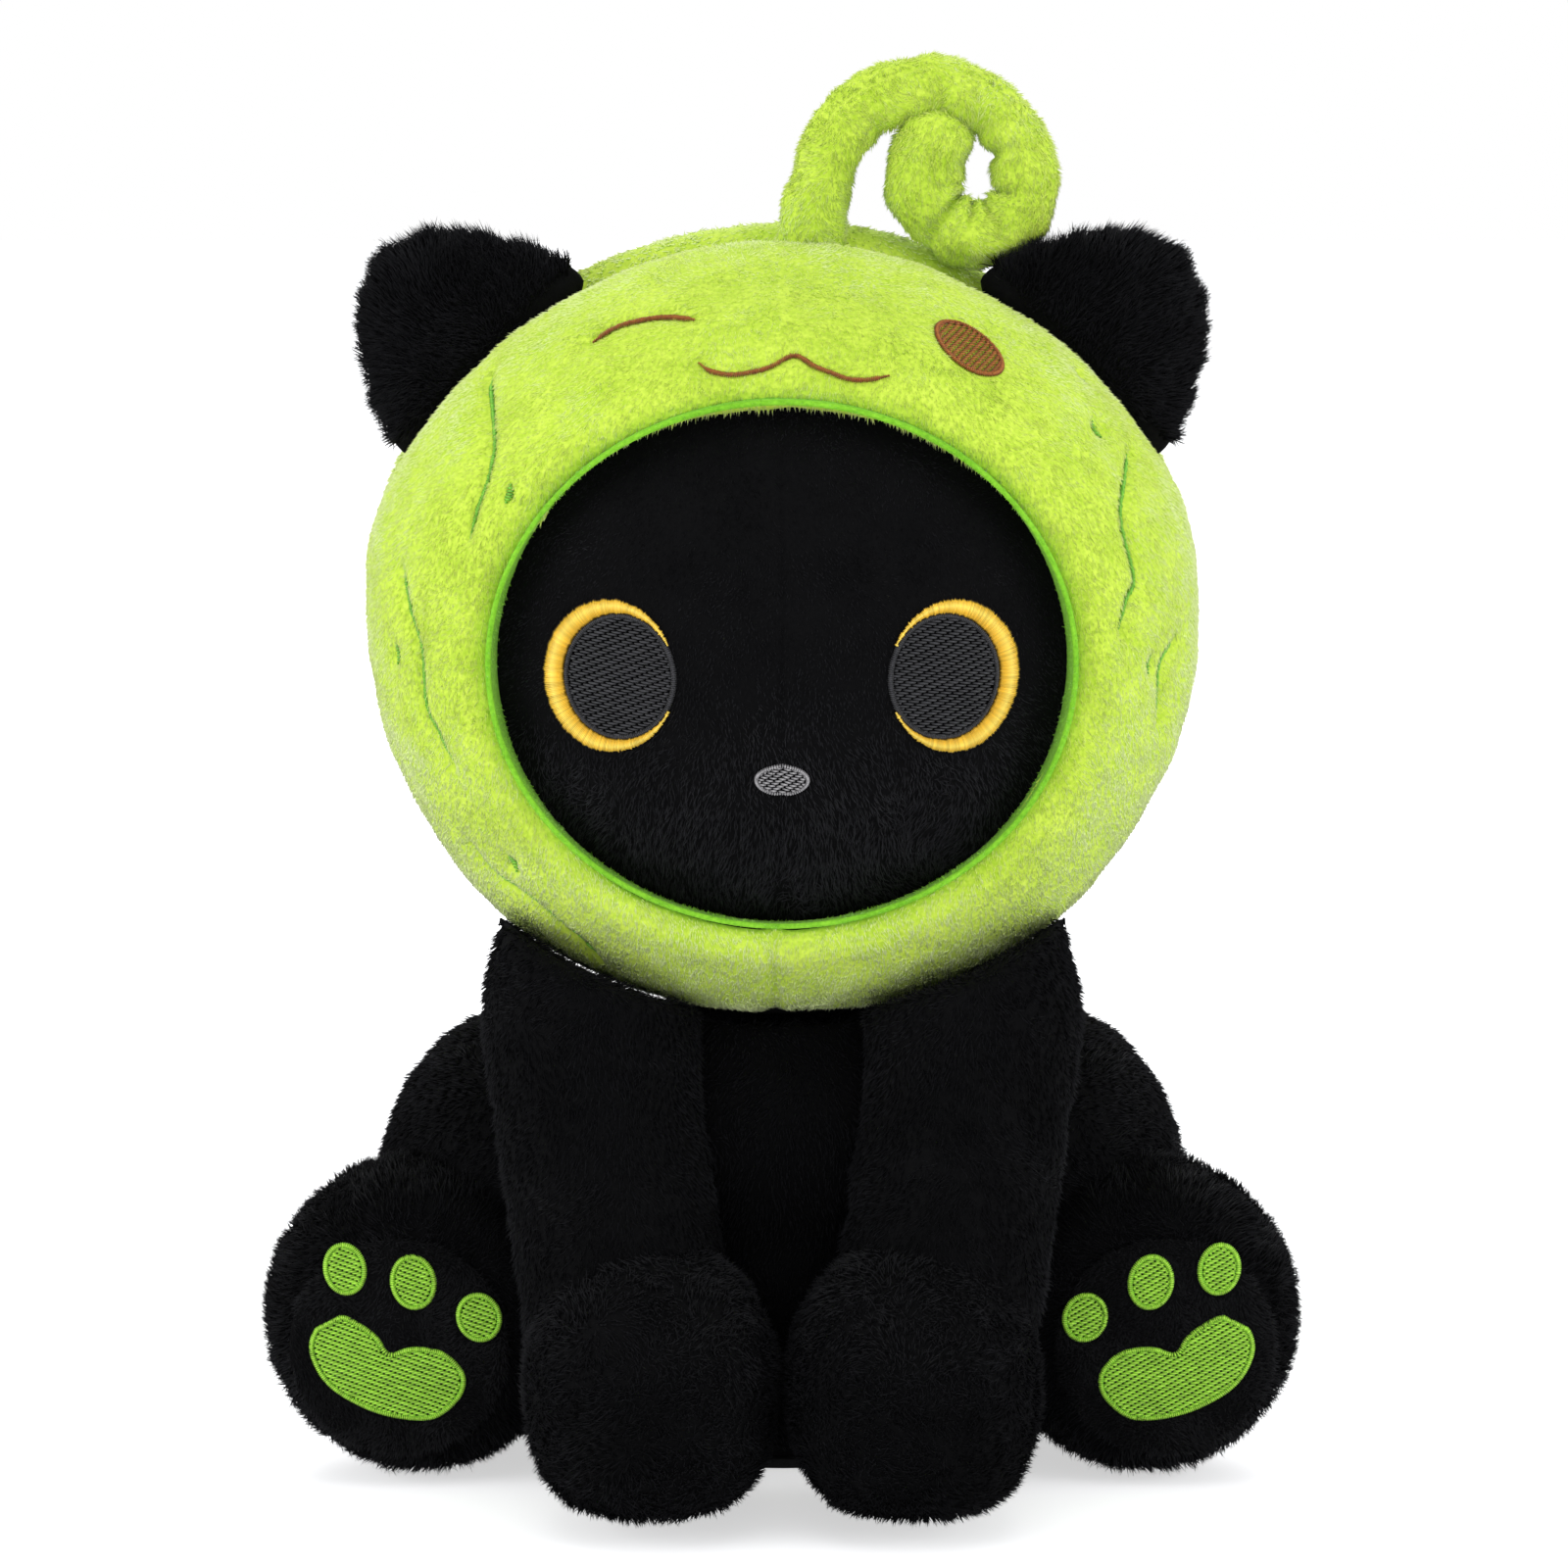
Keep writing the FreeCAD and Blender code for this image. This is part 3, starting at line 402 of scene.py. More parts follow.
front = ball("hood_front", HEAD, HOOD_HALF, 360, 168, pole="Y")
drop_points(front, shell_share(front)[:, 1] > 0.01)
drop_points(front, shell_share(front)[:, 1] < -0.98)
q = shell_share(front)
phi = np.arctan2(q[:, 2], q[:, 0])
polar_angle = np.arccos(np.clip(-q[:, 1], -1, 1))
share = (polar_angle - polar_angle.min()) / (polar_angle.max() - polar_angle.min())
# the first rings make the rolled rim and the last ones turn in at the rear seam
RIM_SHARE, TUCK_SHARE = 0.10, 0.95
rim_back = 3.6 * MM - 0.6 * MM * np.clip(np.sin(phi), 0, 1) ** 3
start = opening_angle(phi, rim_back)
rim_arc = ROLL / 75 / MM
seam_angle = math.acos(-(hood_seam_y - HEAD[1]) / HOOD_HALF[1])
across = np.clip((share - RIM_SHARE) / (TUCK_SHARE - RIM_SHARE), 0, 1)
angle = start + rim_arc + (seam_angle - start - rim_arc) * across
base = shell_ring(angle, phi)
normal = shell_normal(HOOD_HALF, base)
lifted = on_hood(base)
towards = shell_ring(start, phi) - base
towards = unit(towards - normal * np.sum(towards * normal, axis=1, keepdims=True))
roll = np.clip((RIM_SHARE - share) / RIM_SHARE, 0, 1)[:, None] * math.pi / 2
lifted += (towards * np.sin(roll) - normal * (1 - np.cos(roll))) * ROLL * (roll > 0)
tuck = np.clip((share - TUCK_SHARE) / (1 - TUCK_SHARE), 0, 1)[:, None]
lifted -= normal * SEAM_TUCK * tuck
place_points(front, lifted)


def cut_neck_hole(obj):
    """Open the hood underneath and tidy the edge to a circle about the neck."""
    centre = np.array([0.0, (neck_low[1] + neck_high[1]) / 2])
    points = points_of(obj)
    flat = points[:, :2] - centre
    drop_points(obj, (np.linalg.norm(flat, axis=1) < NECK_HOLE) & (points[:, 2] < HEAD[2]))
    points = points_of(obj)
    flat = points[:, :2] - centre
    gap = np.linalg.norm(flat, axis=1)
    edge = boundary(obj) & (gap < NECK_HOLE + 4 * MM) & (points[:, 2] < HEAD[2])
    points[edge, :2] = centre + flat[edge] / gap[edge, None] * NECK_HOLE
    place_points(obj, points)


cut_neck_hole(front)


def surface_of(obj):
    """Corner indices, points and normals of a mesh's triangles, for the pile to grow from."""
    obj.data.calc_loop_triangles()
    faces = np.empty(len(obj.data.loop_triangles) * 3, int)
    obj.data.loop_triangles.foreach_get("vertices", faces)
    normals = np.empty(len(obj.data.vertices) * 3, np.float32)
    obj.data.vertex_normals.foreach_get("vector", normals)
    return faces.reshape(-1, 3), points_of(obj), normals.reshape(-1, 3).astype(float)


def strand_colours(tree, ends, inner, spread):
    """Colour ramp along V and tone along U: every tuft and stitch holds them in its own UVs."""
    uv = add(tree, "UVMap", {"uv_map": "OFBake"})
    split = add(tree, "SeparateXYZ", Vector=uv.outputs["UV"])
    ramp = add(tree, "ValToRGB", Fac=split.outputs["Y"])
    for k, code in enumerate(ends):
        ramp.color_ramp.elements[k].color = linear(code)
    for place, code in inner:
        ramp.color_ramp.elements.new(place).color = linear(code)
    tone = add(tree, "MapRange", {"To Min": spread[0], "To Max": spread[1]}, Value=split.outputs["X"])
    return split, ramp, tone


def velour_pile_material(name, root, middle, tip, sheen, sheen_tint, roughness, gloss=0.3,
                         spread=(0.82, 1.20)):
    """Brushed polyester velour: painted shade darkens each tuft at its root and a painted highlight
    lightens its tip, and the palest tufts lose some of their colour, as a sheen would whiten them."""
    material, tree = blank_material(name)
    # painted shade and highlight: the ramp runs from each tuft's dark root to its pale tip
    split, ramp, tone = strand_colours(tree, (root, tip), [(0.45, middle)], spread)
    # painted sheen: the higher a tuft's tone, the more of its colour it loses
    sheen_whitening = add(tree, "MapRange", {"From Min": 0.5, "To Min": 1.0, "To Max": 0.66},
                Value=split.outputs["X"])
    colour = add(tree, "HueSaturation", Color=ramp.outputs[0], Value=tone.outputs[0],
                 Saturation=sheen_whitening.outputs[0])
    skin = add(tree, "BsdfPrincipled", {
        "Roughness": roughness, "Specular IOR Level": gloss, "Sheen Weight": sheen,
        "Sheen Roughness": 0.45, "Sheen Tint": linear(sheen_tint)}, Base_Color=colour.outputs[0])
    add(tree, "OutputMaterial", Surface=skin.outputs[0])
    return material


def velour_ground_material(name, dark, light, grain, sheen, sheen_tint, gloss=0.15):
    """Knitted ground under the pile: mottled, darker than the tips as painted shade between the tufts,
    with a fine nap in its bump.
    """
    material, tree = blank_material(name)
    place = add(tree, "TexCoord").outputs["Object"]
    cloud = add(tree, "TexNoise", {"Scale": 1 / (9 * MM), "Detail": 4.0}, Vector=place)
    fine = add(tree, "TexNoise", {"Scale": 1 / grain, "Detail": 3.0}, Vector=place)
    blend = add(tree, "Math", {"operation": "MULTIPLY_ADD", 1: 0.55}, Value=cloud.outputs[0])
    tree.links.new(fine.outputs[0], blend.inputs[2])
    ramp = add(tree, "ValToRGB", Fac=blend.outputs[0])
    ramp.color_ramp.elements[0].color = linear(dark)
    ramp.color_ramp.elements[1].color = linear(light)
    ramp.color_ramp.elements[0].position = 0.45
    ramp.color_ramp.elements[1].position = 1.05
    bump = add(tree, "Bump", {"Strength": 0.5, "Distance": 0.4 * MM}, Height=fine.outputs[0])
    skin = add(tree, "BsdfPrincipled", {
        "Roughness": 0.85, "Specular IOR Level": gloss, "Sheen Weight": sheen,
        "Sheen Roughness": 0.5, "Sheen Tint": linear(sheen_tint)},
        Base_Color=ramp.outputs[0], Normal=bump.outputs[0])
    add(tree, "OutputMaterial", Surface=skin.outputs[0])
    return material


def mesh_object(name, points, triangles, bake_uv):
    """Smooth-shaded object of triangles that carries its own bake coordinates."""
    mesh = bpy.data.meshes.new(name)
    mesh.vertices.add(len(points))
    mesh.vertices.foreach_set("co", points.astype(np.float32).ravel())
    mesh.loops.add(triangles.size)
    mesh.loops.foreach_set("vertex_index", triangles.astype(np.int32).ravel())
    mesh.polygons.add(len(triangles))
    mesh.polygons.foreach_set("loop_start", np.arange(0, triangles.size, 3, dtype=np.int32))
    mesh.polygons.foreach_set("use_smooth", np.ones(len(triangles), bool))
    mesh.uv_layers.new(name="OFBake").data.foreach_set("uv", bake_uv.astype(np.float32).ravel())
    mesh.update(calc_edges=True)
    mesh.validate()
    obj = bpy.data.objects.new(name, mesh)
    bpy.context.collection.objects.link(obj)
    return obj


def grow_pile(name, surface, count, length, width, lean, comb, seed, where=None, wander=0.6,
              long=None, rough=1.0, light=None):
    """Tufts of pile as one mesh: closed three-sided spikes, rooted in the cloth and combed."""
    faces, points, normals = surface
    rng = np.random.default_rng(seed)
    a, b, c = (points[faces[:, k]] for k in range(3))
    weight = np.linalg.norm(np.cross(b - a, c - a), axis=1)
    if where is not None:
        weight = weight * where((a + b + c) / 3)
    pick = rng.choice(len(faces), count, p=weight / weight.sum())
    u, v = rng.random((2, count))
    fold = u + v > 1
    u[fold], v[fold] = 1 - u[fold], 1 - v[fold]
    shares = np.stack([1 - u - v, u, v], 1)
    root = np.einsum("ij,ijk->ik", shares, points[faces[pick]])
    normal = unit(np.einsum("ij,ijk->ik", shares, normals[faces[pick]]))
    flow = np.broadcast_to(comb(root) if callable(comb) else np.array(comb, float), root.shape).copy()
    for axis in range(3):
        flow[:, axis] += wander * (0.7 * ripple(root, 24 * MM, seed + 31 + axis)
                                   + 0.5 * ripple(root, 8 * MM, seed + 61 + axis))
    flow += rng.normal(0, 0.22 * rough, root.shape)
    flow = unit(flow - normal * np.sum(flow * normal, axis=1, keepdims=True))
    unrest = 9 * ripple(root, 13 * MM, seed + 5) + rng.normal(0, 8, count)
    tilt = np.radians(lean + rough * unrest)[:, None]
    way = normal * np.cos(tilt) + flow * np.sin(tilt)
    reach = length * rng.uniform(0.7, 1.25, count)
    if long is not None:
        reach = reach * long(root)
    side = unit(np.cross(way, normal))
    other = np.cross(side, way)
    thick = width * rng.uniform(0.75, 1.25, count)[:, None]
    foot = root - normal * 0.25 * MM
    spike_points = np.empty((count, 4, 3))
    for k, turn in enumerate((90, 210, 330)):
        spike_points[:, k] = foot + thick / 2 * (side * math.cos(math.radians(turn))
                                                 + other * math.sin(math.radians(turn)))
    spike_points[:, 3] = foot + way * reach[:, None]
    index = np.arange(count)[:, None] * 4
    spikes = np.concatenate([index + t for t in ((0, 1, 3), (1, 2, 3), (2, 0, 3), (0, 2, 1))], 1)
    tone = (0.42 + 0.14 * ripple(root, 30 * MM, seed + 7) + 0.09 * ripple(root, 7 * MM, seed + 8)
            + rng.normal(0, 0.10, count))
    # a piece may raise its tufts' tone here, evenly or as painted light where light falls on it
    if light is not None:
        tone = tone + light(root)
    tone = np.clip(tone, 0.03, 0.97)
    # V is 0 at the root corners and 1 at the tip: the pile's painted shade and highlight run along it
    flat = np.zeros((count, 4, 3, 2))
    for k in range(4):
        flat[:, k, :, 0] = tone[:, None] + np.array([-0.02, 0.02, 0.0])
        flat[:, k, 2, 1] = 1.0 if k < 3 else 0.04
    return mesh_object(name, spike_points.reshape(-1, 3), spikes.reshape(-1, 3), flat)


def finish_piece(obj, material, body=None, bend=None, stands_for=()):
    """Material, the construction parts it stands for hidden, and the body that the piece follows; a piece
    with a bend only has its transform baked in.
    """
    obj.data.materials.clear()
    obj.data.materials.append(material)
    if stands_for:
        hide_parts(*stands_for)
    if bend:
        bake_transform(obj)
    else:
        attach(obj, body)


lime_pile = velour_pile_material("brushed_lime_velour_pile", "#A4C628", "#CAE24E", "#DEF074",
                                 0.35, "#F6FFD8", 0.75)
lime_ground = velour_ground_material("lime_velour_ground", "#9EC228", "#CEE654", 0.9 * MM,
                                     0.15, "#F2FFC0")
front_surface = surface_of(front)
modify(front, "SOLIDIFY", thickness=HOOD_CLOTH, offset=-1.0, use_rim=True)
shade_smooth(front)
finish_piece(front, lime_ground, body="head",
             stands_for=("hood_front_panel", "hood_padding"))


def away_from_marks(points):
    """1 on open cloth and 0 under stitching."""
    clear = np.ones(len(points))
    for line, half_width in ((wink_line, 0.8), (mouth_line, 0.7)):
        clear *= nearest(points, line, 4 * MM) > half_width * MM
    eye = points - round_eye_middle
    flat = np.stack([eye @ eye_across, eye @ eye_up], 1)
    for line in rind_lines:
        clear *= nearest(points, line, 4 * MM) > 0.85 * MM
    for spot in rind_spots:
        clear *= np.linalg.norm((points - spot) * [1.2, 1.0, 0.8], axis=1) > 1.7 * MM
    return clear * ~(in_round_eye(flat, 0.4 * MM) & (eye @ eye_normal > -8 * MM))


def hood_comb(points):
    """The nap runs down and out from the crown."""
    out = points - HEAD
    level = np.ones(len(points))
    return np.stack([0.35 * out[:, 0] / 80 / MM, 0.15 * level, -1.0 * level], 1)


def hood_painted_sheen(points):
    """Painted sheen round the hood's edge, where velour whitens at a grazing view, and painted light
    growing down over its lower half, which faces away from the lamps.
    """
    round_edge = np.hypot((points[:, 0] - HEAD[0]) / HOOD_HALF[0],
                          (points[:, 2] - HEAD[2]) / HOOD_HALF[2])
    low = np.clip((HEAD[2] - points[:, 2]) / HOOD_HALF[2], 0, 1)
    return 0.36 * np.clip((round_edge - 0.70) / 0.30, 0, 1) ** 1.3 + 0.55 * low


# The front pile's tone carries painted sheen round the edge and painted light over the lower part.
for side, sign in SIDES:
    pile = grow_pile(
        f"hood_front_pile_{side}", front_surface, count=41000, length=HOOD_PILE, width=0.40 * MM,
        lean=64, comb=hood_comb, seed=101 + sign, wander=0.32, rough=0.6, light=hood_painted_sheen,
        where=lambda p: (away_from_marks(p) * (p[:, 0] * sign > 0)
                         * (p[:, 1] < hood_seam_y + 1 * MM)))
    finish_piece(pile, lime_pile, body="head")

# ---------------------------------------------------------------- hood, back panel
# The same velour closes the back of the head. It is sewn to the front panel
# in the valley between the ears and is open underneath for the neck.
back = ball("hood_back", HEAD, HOOD_HALF, 240, 132, pole="Y")
drop_points(back, shell_share(back)[:, 1] < -0.01)
q = shell_share(back)
phi = np.arctan2(q[:, 2], q[:, 0])
polar_angle = np.arccos(np.clip(q[:, 1], -1, 1))
share = polar_angle / polar_angle.max()
across = np.clip(share / TUCK_SHARE, 0, 1)
angle = (math.pi - seam_angle) * across
base = shell_ring(angle, phi, ahead=1)
normal = shell_normal(HOOD_HALF, base)
tuck = np.clip((share - TUCK_SHARE) / (1 - TUCK_SHARE), 0, 1)[:, None]
place_points(back, on_hood(base) - normal * SEAM_TUCK * tuck)
cut_neck_hole(back)
back_surface = surface_of(back)
modify(back, "SOLIDIFY", thickness=HOOD_CLOTH, offset=-1.0, use_rim=True)
shade_smooth(back)
finish_piece(back, lime_ground, body="head",
             stands_for=("hood_back_panel", "head_back_panel", "head_filling"))
# The back pile's tone carries the same painted sheen and light, a little paler all over.
for side, sign in SIDES:
    pile = grow_pile(
        f"hood_back_pile_{side}", back_surface, count=15500, length=HOOD_PILE * 1.2,
        width=0.64 * MM, lean=62, comb=hood_comb, seed=111 + sign, wander=0.35,
        light=lambda p: 0.9 * hood_painted_sheen(p) + 0.06,
        where=lambda p: (p[:, 0] * sign > 0) * (p[:, 1] > hood_seam_y - 1 * MM))
    finish_piece(pile, lime_pile, body="head")

# ---------------------------------------------------------------- facing of the face opening
# A darker green band of short-napped velour lines the rolled rim and runs
# back to the face, where it is caught down all round.
FACING_STEPS = 7
SKIN_INSET = 9.8 * MM
SKIN_HALF = HOOD_HALF - SKIN_INSET
bpy.ops.object.select_all(action="DESELECT")
bpy.ops.mesh.primitive_circle_add(vertices=300, radius=1.0, rotation=(math.pi / 2, 0, 0))
facing = bpy.context.object
facing.name = "hood_facing_band"
bpy.ops.object.transform_apply(rotation=True)
bpy.ops.object.mode_set(mode="EDIT")
for _ in range(FACING_STEPS):
    bpy.ops.mesh.extrude_edges_move(TRANSFORM_OT_translate={"value": (0, 0.1, 0)})
bpy.ops.object.mode_set(mode="OBJECT")
points = points_of(facing)
phi = np.arctan2(points[:, 2], points[:, 0])
step = np.clip(np.round((points[:, 1] - points[:, 1].min()) / 0.1) / FACING_STEPS, 0, 1)
start = opening_angle(phi)
rim = shell_ring(start, phi)
narrow = 1 - (0.022 * np.cos(phi) ** 2 - 0.030 * np.sin(phi) ** 2) * step ** 1.3 - 0.002
x = rim[:, 0] * narrow
z = HEAD[2] - OPENING_DROP + (rim[:, 2] - HEAD[2] + OPENING_DROP) * narrow
deep = HEAD[1] - SKIN_HALF[1] * np.sqrt(np.clip(
    1 - (x / SKIN_HALF[0]) ** 2 - ((z - HEAD[2]) / SKIN_HALF[2]) ** 2, 0, 1)) + 1.0 * MM
rim_y = rim[:, 1] + ROLL * 0.55
y = rim_y + (deep - rim_y) * step
place_points(facing, np.stack([x, y, z], 1))
modify(facing, "SOLIDIFY", thickness=1.0 * MM, offset=0.0, use_rim=True)
only(facing)
bpy.ops.object.mode_set(mode="EDIT")
bpy.ops.mesh.select_all(action="SELECT")
bpy.ops.mesh.normals_make_consistent(inside=False)
bpy.ops.object.mode_set(mode="OBJECT")
green_ground = velour_ground_material("green_velour_facing", "#62A61A", "#8CD034", 0.8 * MM,
                                      0.15, "#DDFFB0")
green_pile = velour_pile_material("short_green_velour_pile", "#5FA41A", "#80C82C", "#A2E048",
                                  0.25, "#E4FFC0", 0.8)


def keep_off_floor(obj, height):
    points = points_of(obj)
    points[:, 2] = np.maximum(points[:, 2], height)
    place_points(obj, points)


def plush(obj, materials, slot, pile_name, body=None, bend=None, fill=None, stands_for=(),
          floor=None, **growth):
    """A stuffed skin of cloth and the pile that grows from it, both on one body, or with their transforms
    baked in where a bend is given.
    """
    shade_smooth(obj)
    surface = surface_of(obj)
    finish_piece(obj, materials[0], body, bend, stands_for)
    pile = grow_pile(pile_name, surface, **growth)
    if floor is not None:
        keep_off_floor(pile, floor)
    finish_piece(pile, materials[1], body, bend)


def into_opening(points):
    """Short nap lies forwards over the facing's edge."""
    out = points - HEAD
    return np.stack([-0.3 * out[:, 0] / 60 / MM, -1.0 * np.ones(len(points)),
                     -0.3 * out[:, 2] / 60 / MM], 1)


plush(facing, (green_ground, green_pile), "green_facing", "hood_facing_pile", body="head", fill=0.5,
      stands_for=("hood_facing",), count=9000, length=1.0 * MM, width=0.36 * MM, lean=55,
      comb=into_opening, seed=121,
      where=lambda p: np.linalg.norm((p - HEAD)[:, [0, 2]], axis=1) < 63 * MM)

# ---------------------------------------------------------------- embroidery on the hood
# Rayon thread: a winking eye, a small cat's mouth and a filled round eye in
# brown, and dark green running stitches down in the creases of the rind.


def thread_material(name, shade, colour, light):
    """Rayon embroidery thread: a painted highlight along the middle of every stitch and painted shade at
    its ends, where it dips into the cloth.
    """
    material, tree = blank_material(name)
    split, ramp, tone = strand_colours(
        tree, (shade, shade), [(0.3, colour), (0.55, light), (0.8, colour)], (0.78, 1.15))
    tinted = add(tree, "HueSaturation", Color=ramp.outputs[0], Value=tone.outputs[0])
    satin = add(tree, "BsdfPrincipled", {
        "Roughness": 0.42, "Specular IOR Level": 0.4, "Anisotropic": 0.3,
        "Sheen Weight": 0.1, "Sheen Roughness": 0.3}, Base_Color=tinted.outputs[0])
    add(tree, "OutputMaterial", Surface=satin.outputs[0])
    return material


def stitches(name, starts, ends, lift, width, height, seed):
    """Raised stitches as one mesh: each is a closed bar that rises from the cloth at both ends."""
    rng = np.random.default_rng(seed)
    count = len(starts)
    along = ends - starts
    length = np.linalg.norm(along, axis=1, keepdims=True)
    along = along / np.maximum(length, 1e-9)
    side = unit(np.cross(along, lift))
    thick = width / 2 * rng.uniform(0.85, 1.12, count)[:, None]
    rise = height * rng.uniform(0.85, 1.15, count)[:, None]
    points = np.empty((count, 14, 3))
    points[:, 0] = starts - lift * height * 0.2
    points[:, 13] = ends - lift * height * 0.2
    for ring, (share, swell, up) in enumerate(((0.14, 0.85, 0.62), (0.5, 1.0, 1.0),
                                               (0.86, 0.85, 0.62))):
        middle = starts + along * length * share + lift * rise * (up - 0.5)
        for k, (across, over) in enumerate(((1, 0), (0, 1), (-1, 0), (0, -1))):
            points[:, 1 + 4 * ring + k] = (middle + side * thick * swell * across
                                           + lift * rise * 0.5 * over)
    faces = []
    for k in range(4):
        after = (k + 1) % 4
        faces.append((0, 1 + after, 1 + k))
        faces.append((13, 9 + k, 9 + after))
        for ring in (1, 5):
            faces.append((ring + k, ring + after, ring + 4 + after))
            faces.append((ring + k, ring + 4 + after, ring + 4 + k))
    faces = np.array(faces)
    index = (np.arange(count)[:, None, None] * 14 + faces[None]).reshape(-1, 3)
    tone = np.clip(0.5 + rng.normal(0, 0.22, count), 0.04, 0.96)
    height_of = np.array([0.0, *[0.2] * 4, *[0.5] * 4, *[0.8] * 4, 1.0])
    across_of = np.array([0.0, *[0.02, 0, -0.02, 0] * 3, 0.0])
    flat = np.stack([tone[:, None, None] + across_of[faces][None],
                     np.broadcast_to(height_of[faces][None], (count, *faces.shape))], -1)
    return mesh_object(name, points.reshape(-1, 3), index, flat)


def run_of(line):
    """Length along a dense line at each of its points."""
    return np.concatenate([[0], np.cumsum(np.linalg.norm(np.diff(line, axis=0), axis=1))])


def at_run(line, run, marks):
    """Points at given lengths along a dense line."""
    return np.stack([np.interp(marks, run, line[:, k]) for k in range(line.shape[1])], 1)


def along_line(line, spacing):
    """Evenly spaced points on a dense line, the unit directions there and their share of it."""
    run = run_of(line)
    marks = np.arange(0, run[-1], spacing)
    way = at_run(line, run, marks + spacing / 2) - at_run(line, run, marks - spacing / 2)
    return at_run(line, run, marks), unit(way), marks / run[-1]


def satin_line(name, line, width, spacing, thread, height, over, seed, slant=0.35):
    """Satin stitch across a line on the hood, tapering at both ends."""
    points, way, share = along_line(line, spacing)
    normal = shell_normal(HOOD_HALF, points)
    across = np.cross(normal, way)
    taper = np.clip(np.minimum(share, 1 - share) / 0.08, 0.35, 1)[:, None]
    rng = np.random.default_rng(seed)
    half = width / 2 * taper * rng.uniform(0.9, 1.15, (len(points), 1))
    reach = across * half + way * half * slant
    return stitches(name, on_hood(points - reach, over), on_hood(points + reach, over), normal,
                    thread, height, seed)


def merged(name, parts):
    only(parts[0])
    for part in parts:
        part.select_set(True)
    bpy.ops.object.join()
    parts[0].name = name
    return parts[0]


brown_thread = thread_material("brown_rayon_thread", "#4A1E04", "#84420F", "#AC6A2C")
green_line_thread = thread_material("dark_green_rayon_thread", "#3A7A10", "#58A420", "#88CC44")
for feature, line, width, seed in (("wink", wink_line, 1.7, 201), ("mouth", mouth_line, 1.35, 202)):
    sewn = satin_line(f"hood_{feature}", line, width * MM, spacing=0.42 * MM, thread=0.40 * MM,
                      height=0.5 * MM, over=0.35 * MM, seed=seed)
    finish_piece(sewn, brown_thread, body="head",
                 stands_for=(f"hood_{feature}_stitching",))

lines = [satin_line(f"rind_line_{k}", line, 1.2 * MM, spacing=0.55 * MM, thread=0.42 * MM,
                    height=0.4 * MM, over=0.35 * MM, seed=210 + k, slant=0.9)
         for k, line in enumerate(rind_lines)]
finish_piece(merged("hood_rind_line_stitches", lines), green_line_thread,
             body="head", stands_for=("hood_rind_lines",))
spots = []
for k, spot in enumerate(rind_spots):
    normal = shell_normal(HOOD_HALF, spot[None])[0]
    up = np.array([0.0, 0.0, 1.0]) - normal * normal[2]
    up /= np.linalg.norm(up)
    across = np.cross(up, normal)
    rows = np.linspace(-1, 1, 7)
    half = 1.15 * MM * np.sqrt(np.clip(1.1 - rows ** 2, 0.1, 1))
    centre = spot + np.outer(rows * 1.9 * MM, up)
    spots.append(stitches(f"rind_spot_{k}", on_hood(centre - np.outer(half, across), 0.25 * MM),
                          on_hood(centre + np.outer(half, across), 0.25 * MM),
                          np.broadcast_to(normal, centre.shape), 0.5 * MM, 0.4 * MM, 220 + k))
finish_piece(merged("hood_rind_spot_stitches", spots), green_line_thread,
             body="head", stands_for=("hood_rind_spots",))


def fill_rows(half_x, half_z, row_gap, stitch, seed, inside, tilt=0.0):
    """Rows of short fill stitches in a flat shape: start and end points in its own plane."""
    rng = np.random.default_rng(seed)
    starts, ends = [], []
    cos, sin = math.cos(math.radians(tilt)), math.sin(math.radians(tilt))
    far = max(half_x, half_z) * 1.3
    for number, level in enumerate(np.arange(-far, far, row_gap)):
        shift = (number * 0.37 % 1) * stitch
        for left in np.arange(-far - stitch + shift, far, stitch):
            ends_x = np.array([left + 0.04 * stitch, left + 0.98 * stitch])
            steps = np.linspace(ends_x[0], ends_x[1], 9)
            spread = np.stack([steps * cos - level * sin, steps * sin + level * cos], 1)
            ok = inside(spread)
            if ok.sum() < 3:
                continue
            kept = spread[ok]
            starts.append(kept[0] + rng.normal(0, 0.04 * row_gap, 2))
            ends.append(kept[-1] + rng.normal(0, 0.04 * row_gap, 2))
    return np.array(starts), np.array(ends)


def oval_border(half_x, half_z, width, spacing, tilt=0.0):
    """Radial satin stitches round an oval, from inside its edge out to it."""
    count = int(math.pi * (half_x + half_z) / spacing)
    turn = np.radians(np.linspace(0, 360, count, endpoint=False))
    edge = np.stack([half_x * np.cos(turn), half_z * np.sin(turn)], 1)
    out = unit(np.stack([np.cos(turn) / half_x, np.sin(turn) / half_z], 1))
    lean = math.radians(tilt)
    spin = np.array([[math.cos(lean), math.sin(lean)], [-math.sin(lean), math.cos(lean)]])
    return (edge - out * width) @ spin, edge @ spin


def on_round_eye(flat, over):
    points = round_eye_middle + np.outer(flat[:, 0], eye_across) + np.outer(flat[:, 1], eye_up)
    away = points - HEAD
    points = HEAD + away / np.sqrt(np.sum((away / HOOD_HALF) ** 2, axis=1, keepdims=True))
    return on_hood(points, over)


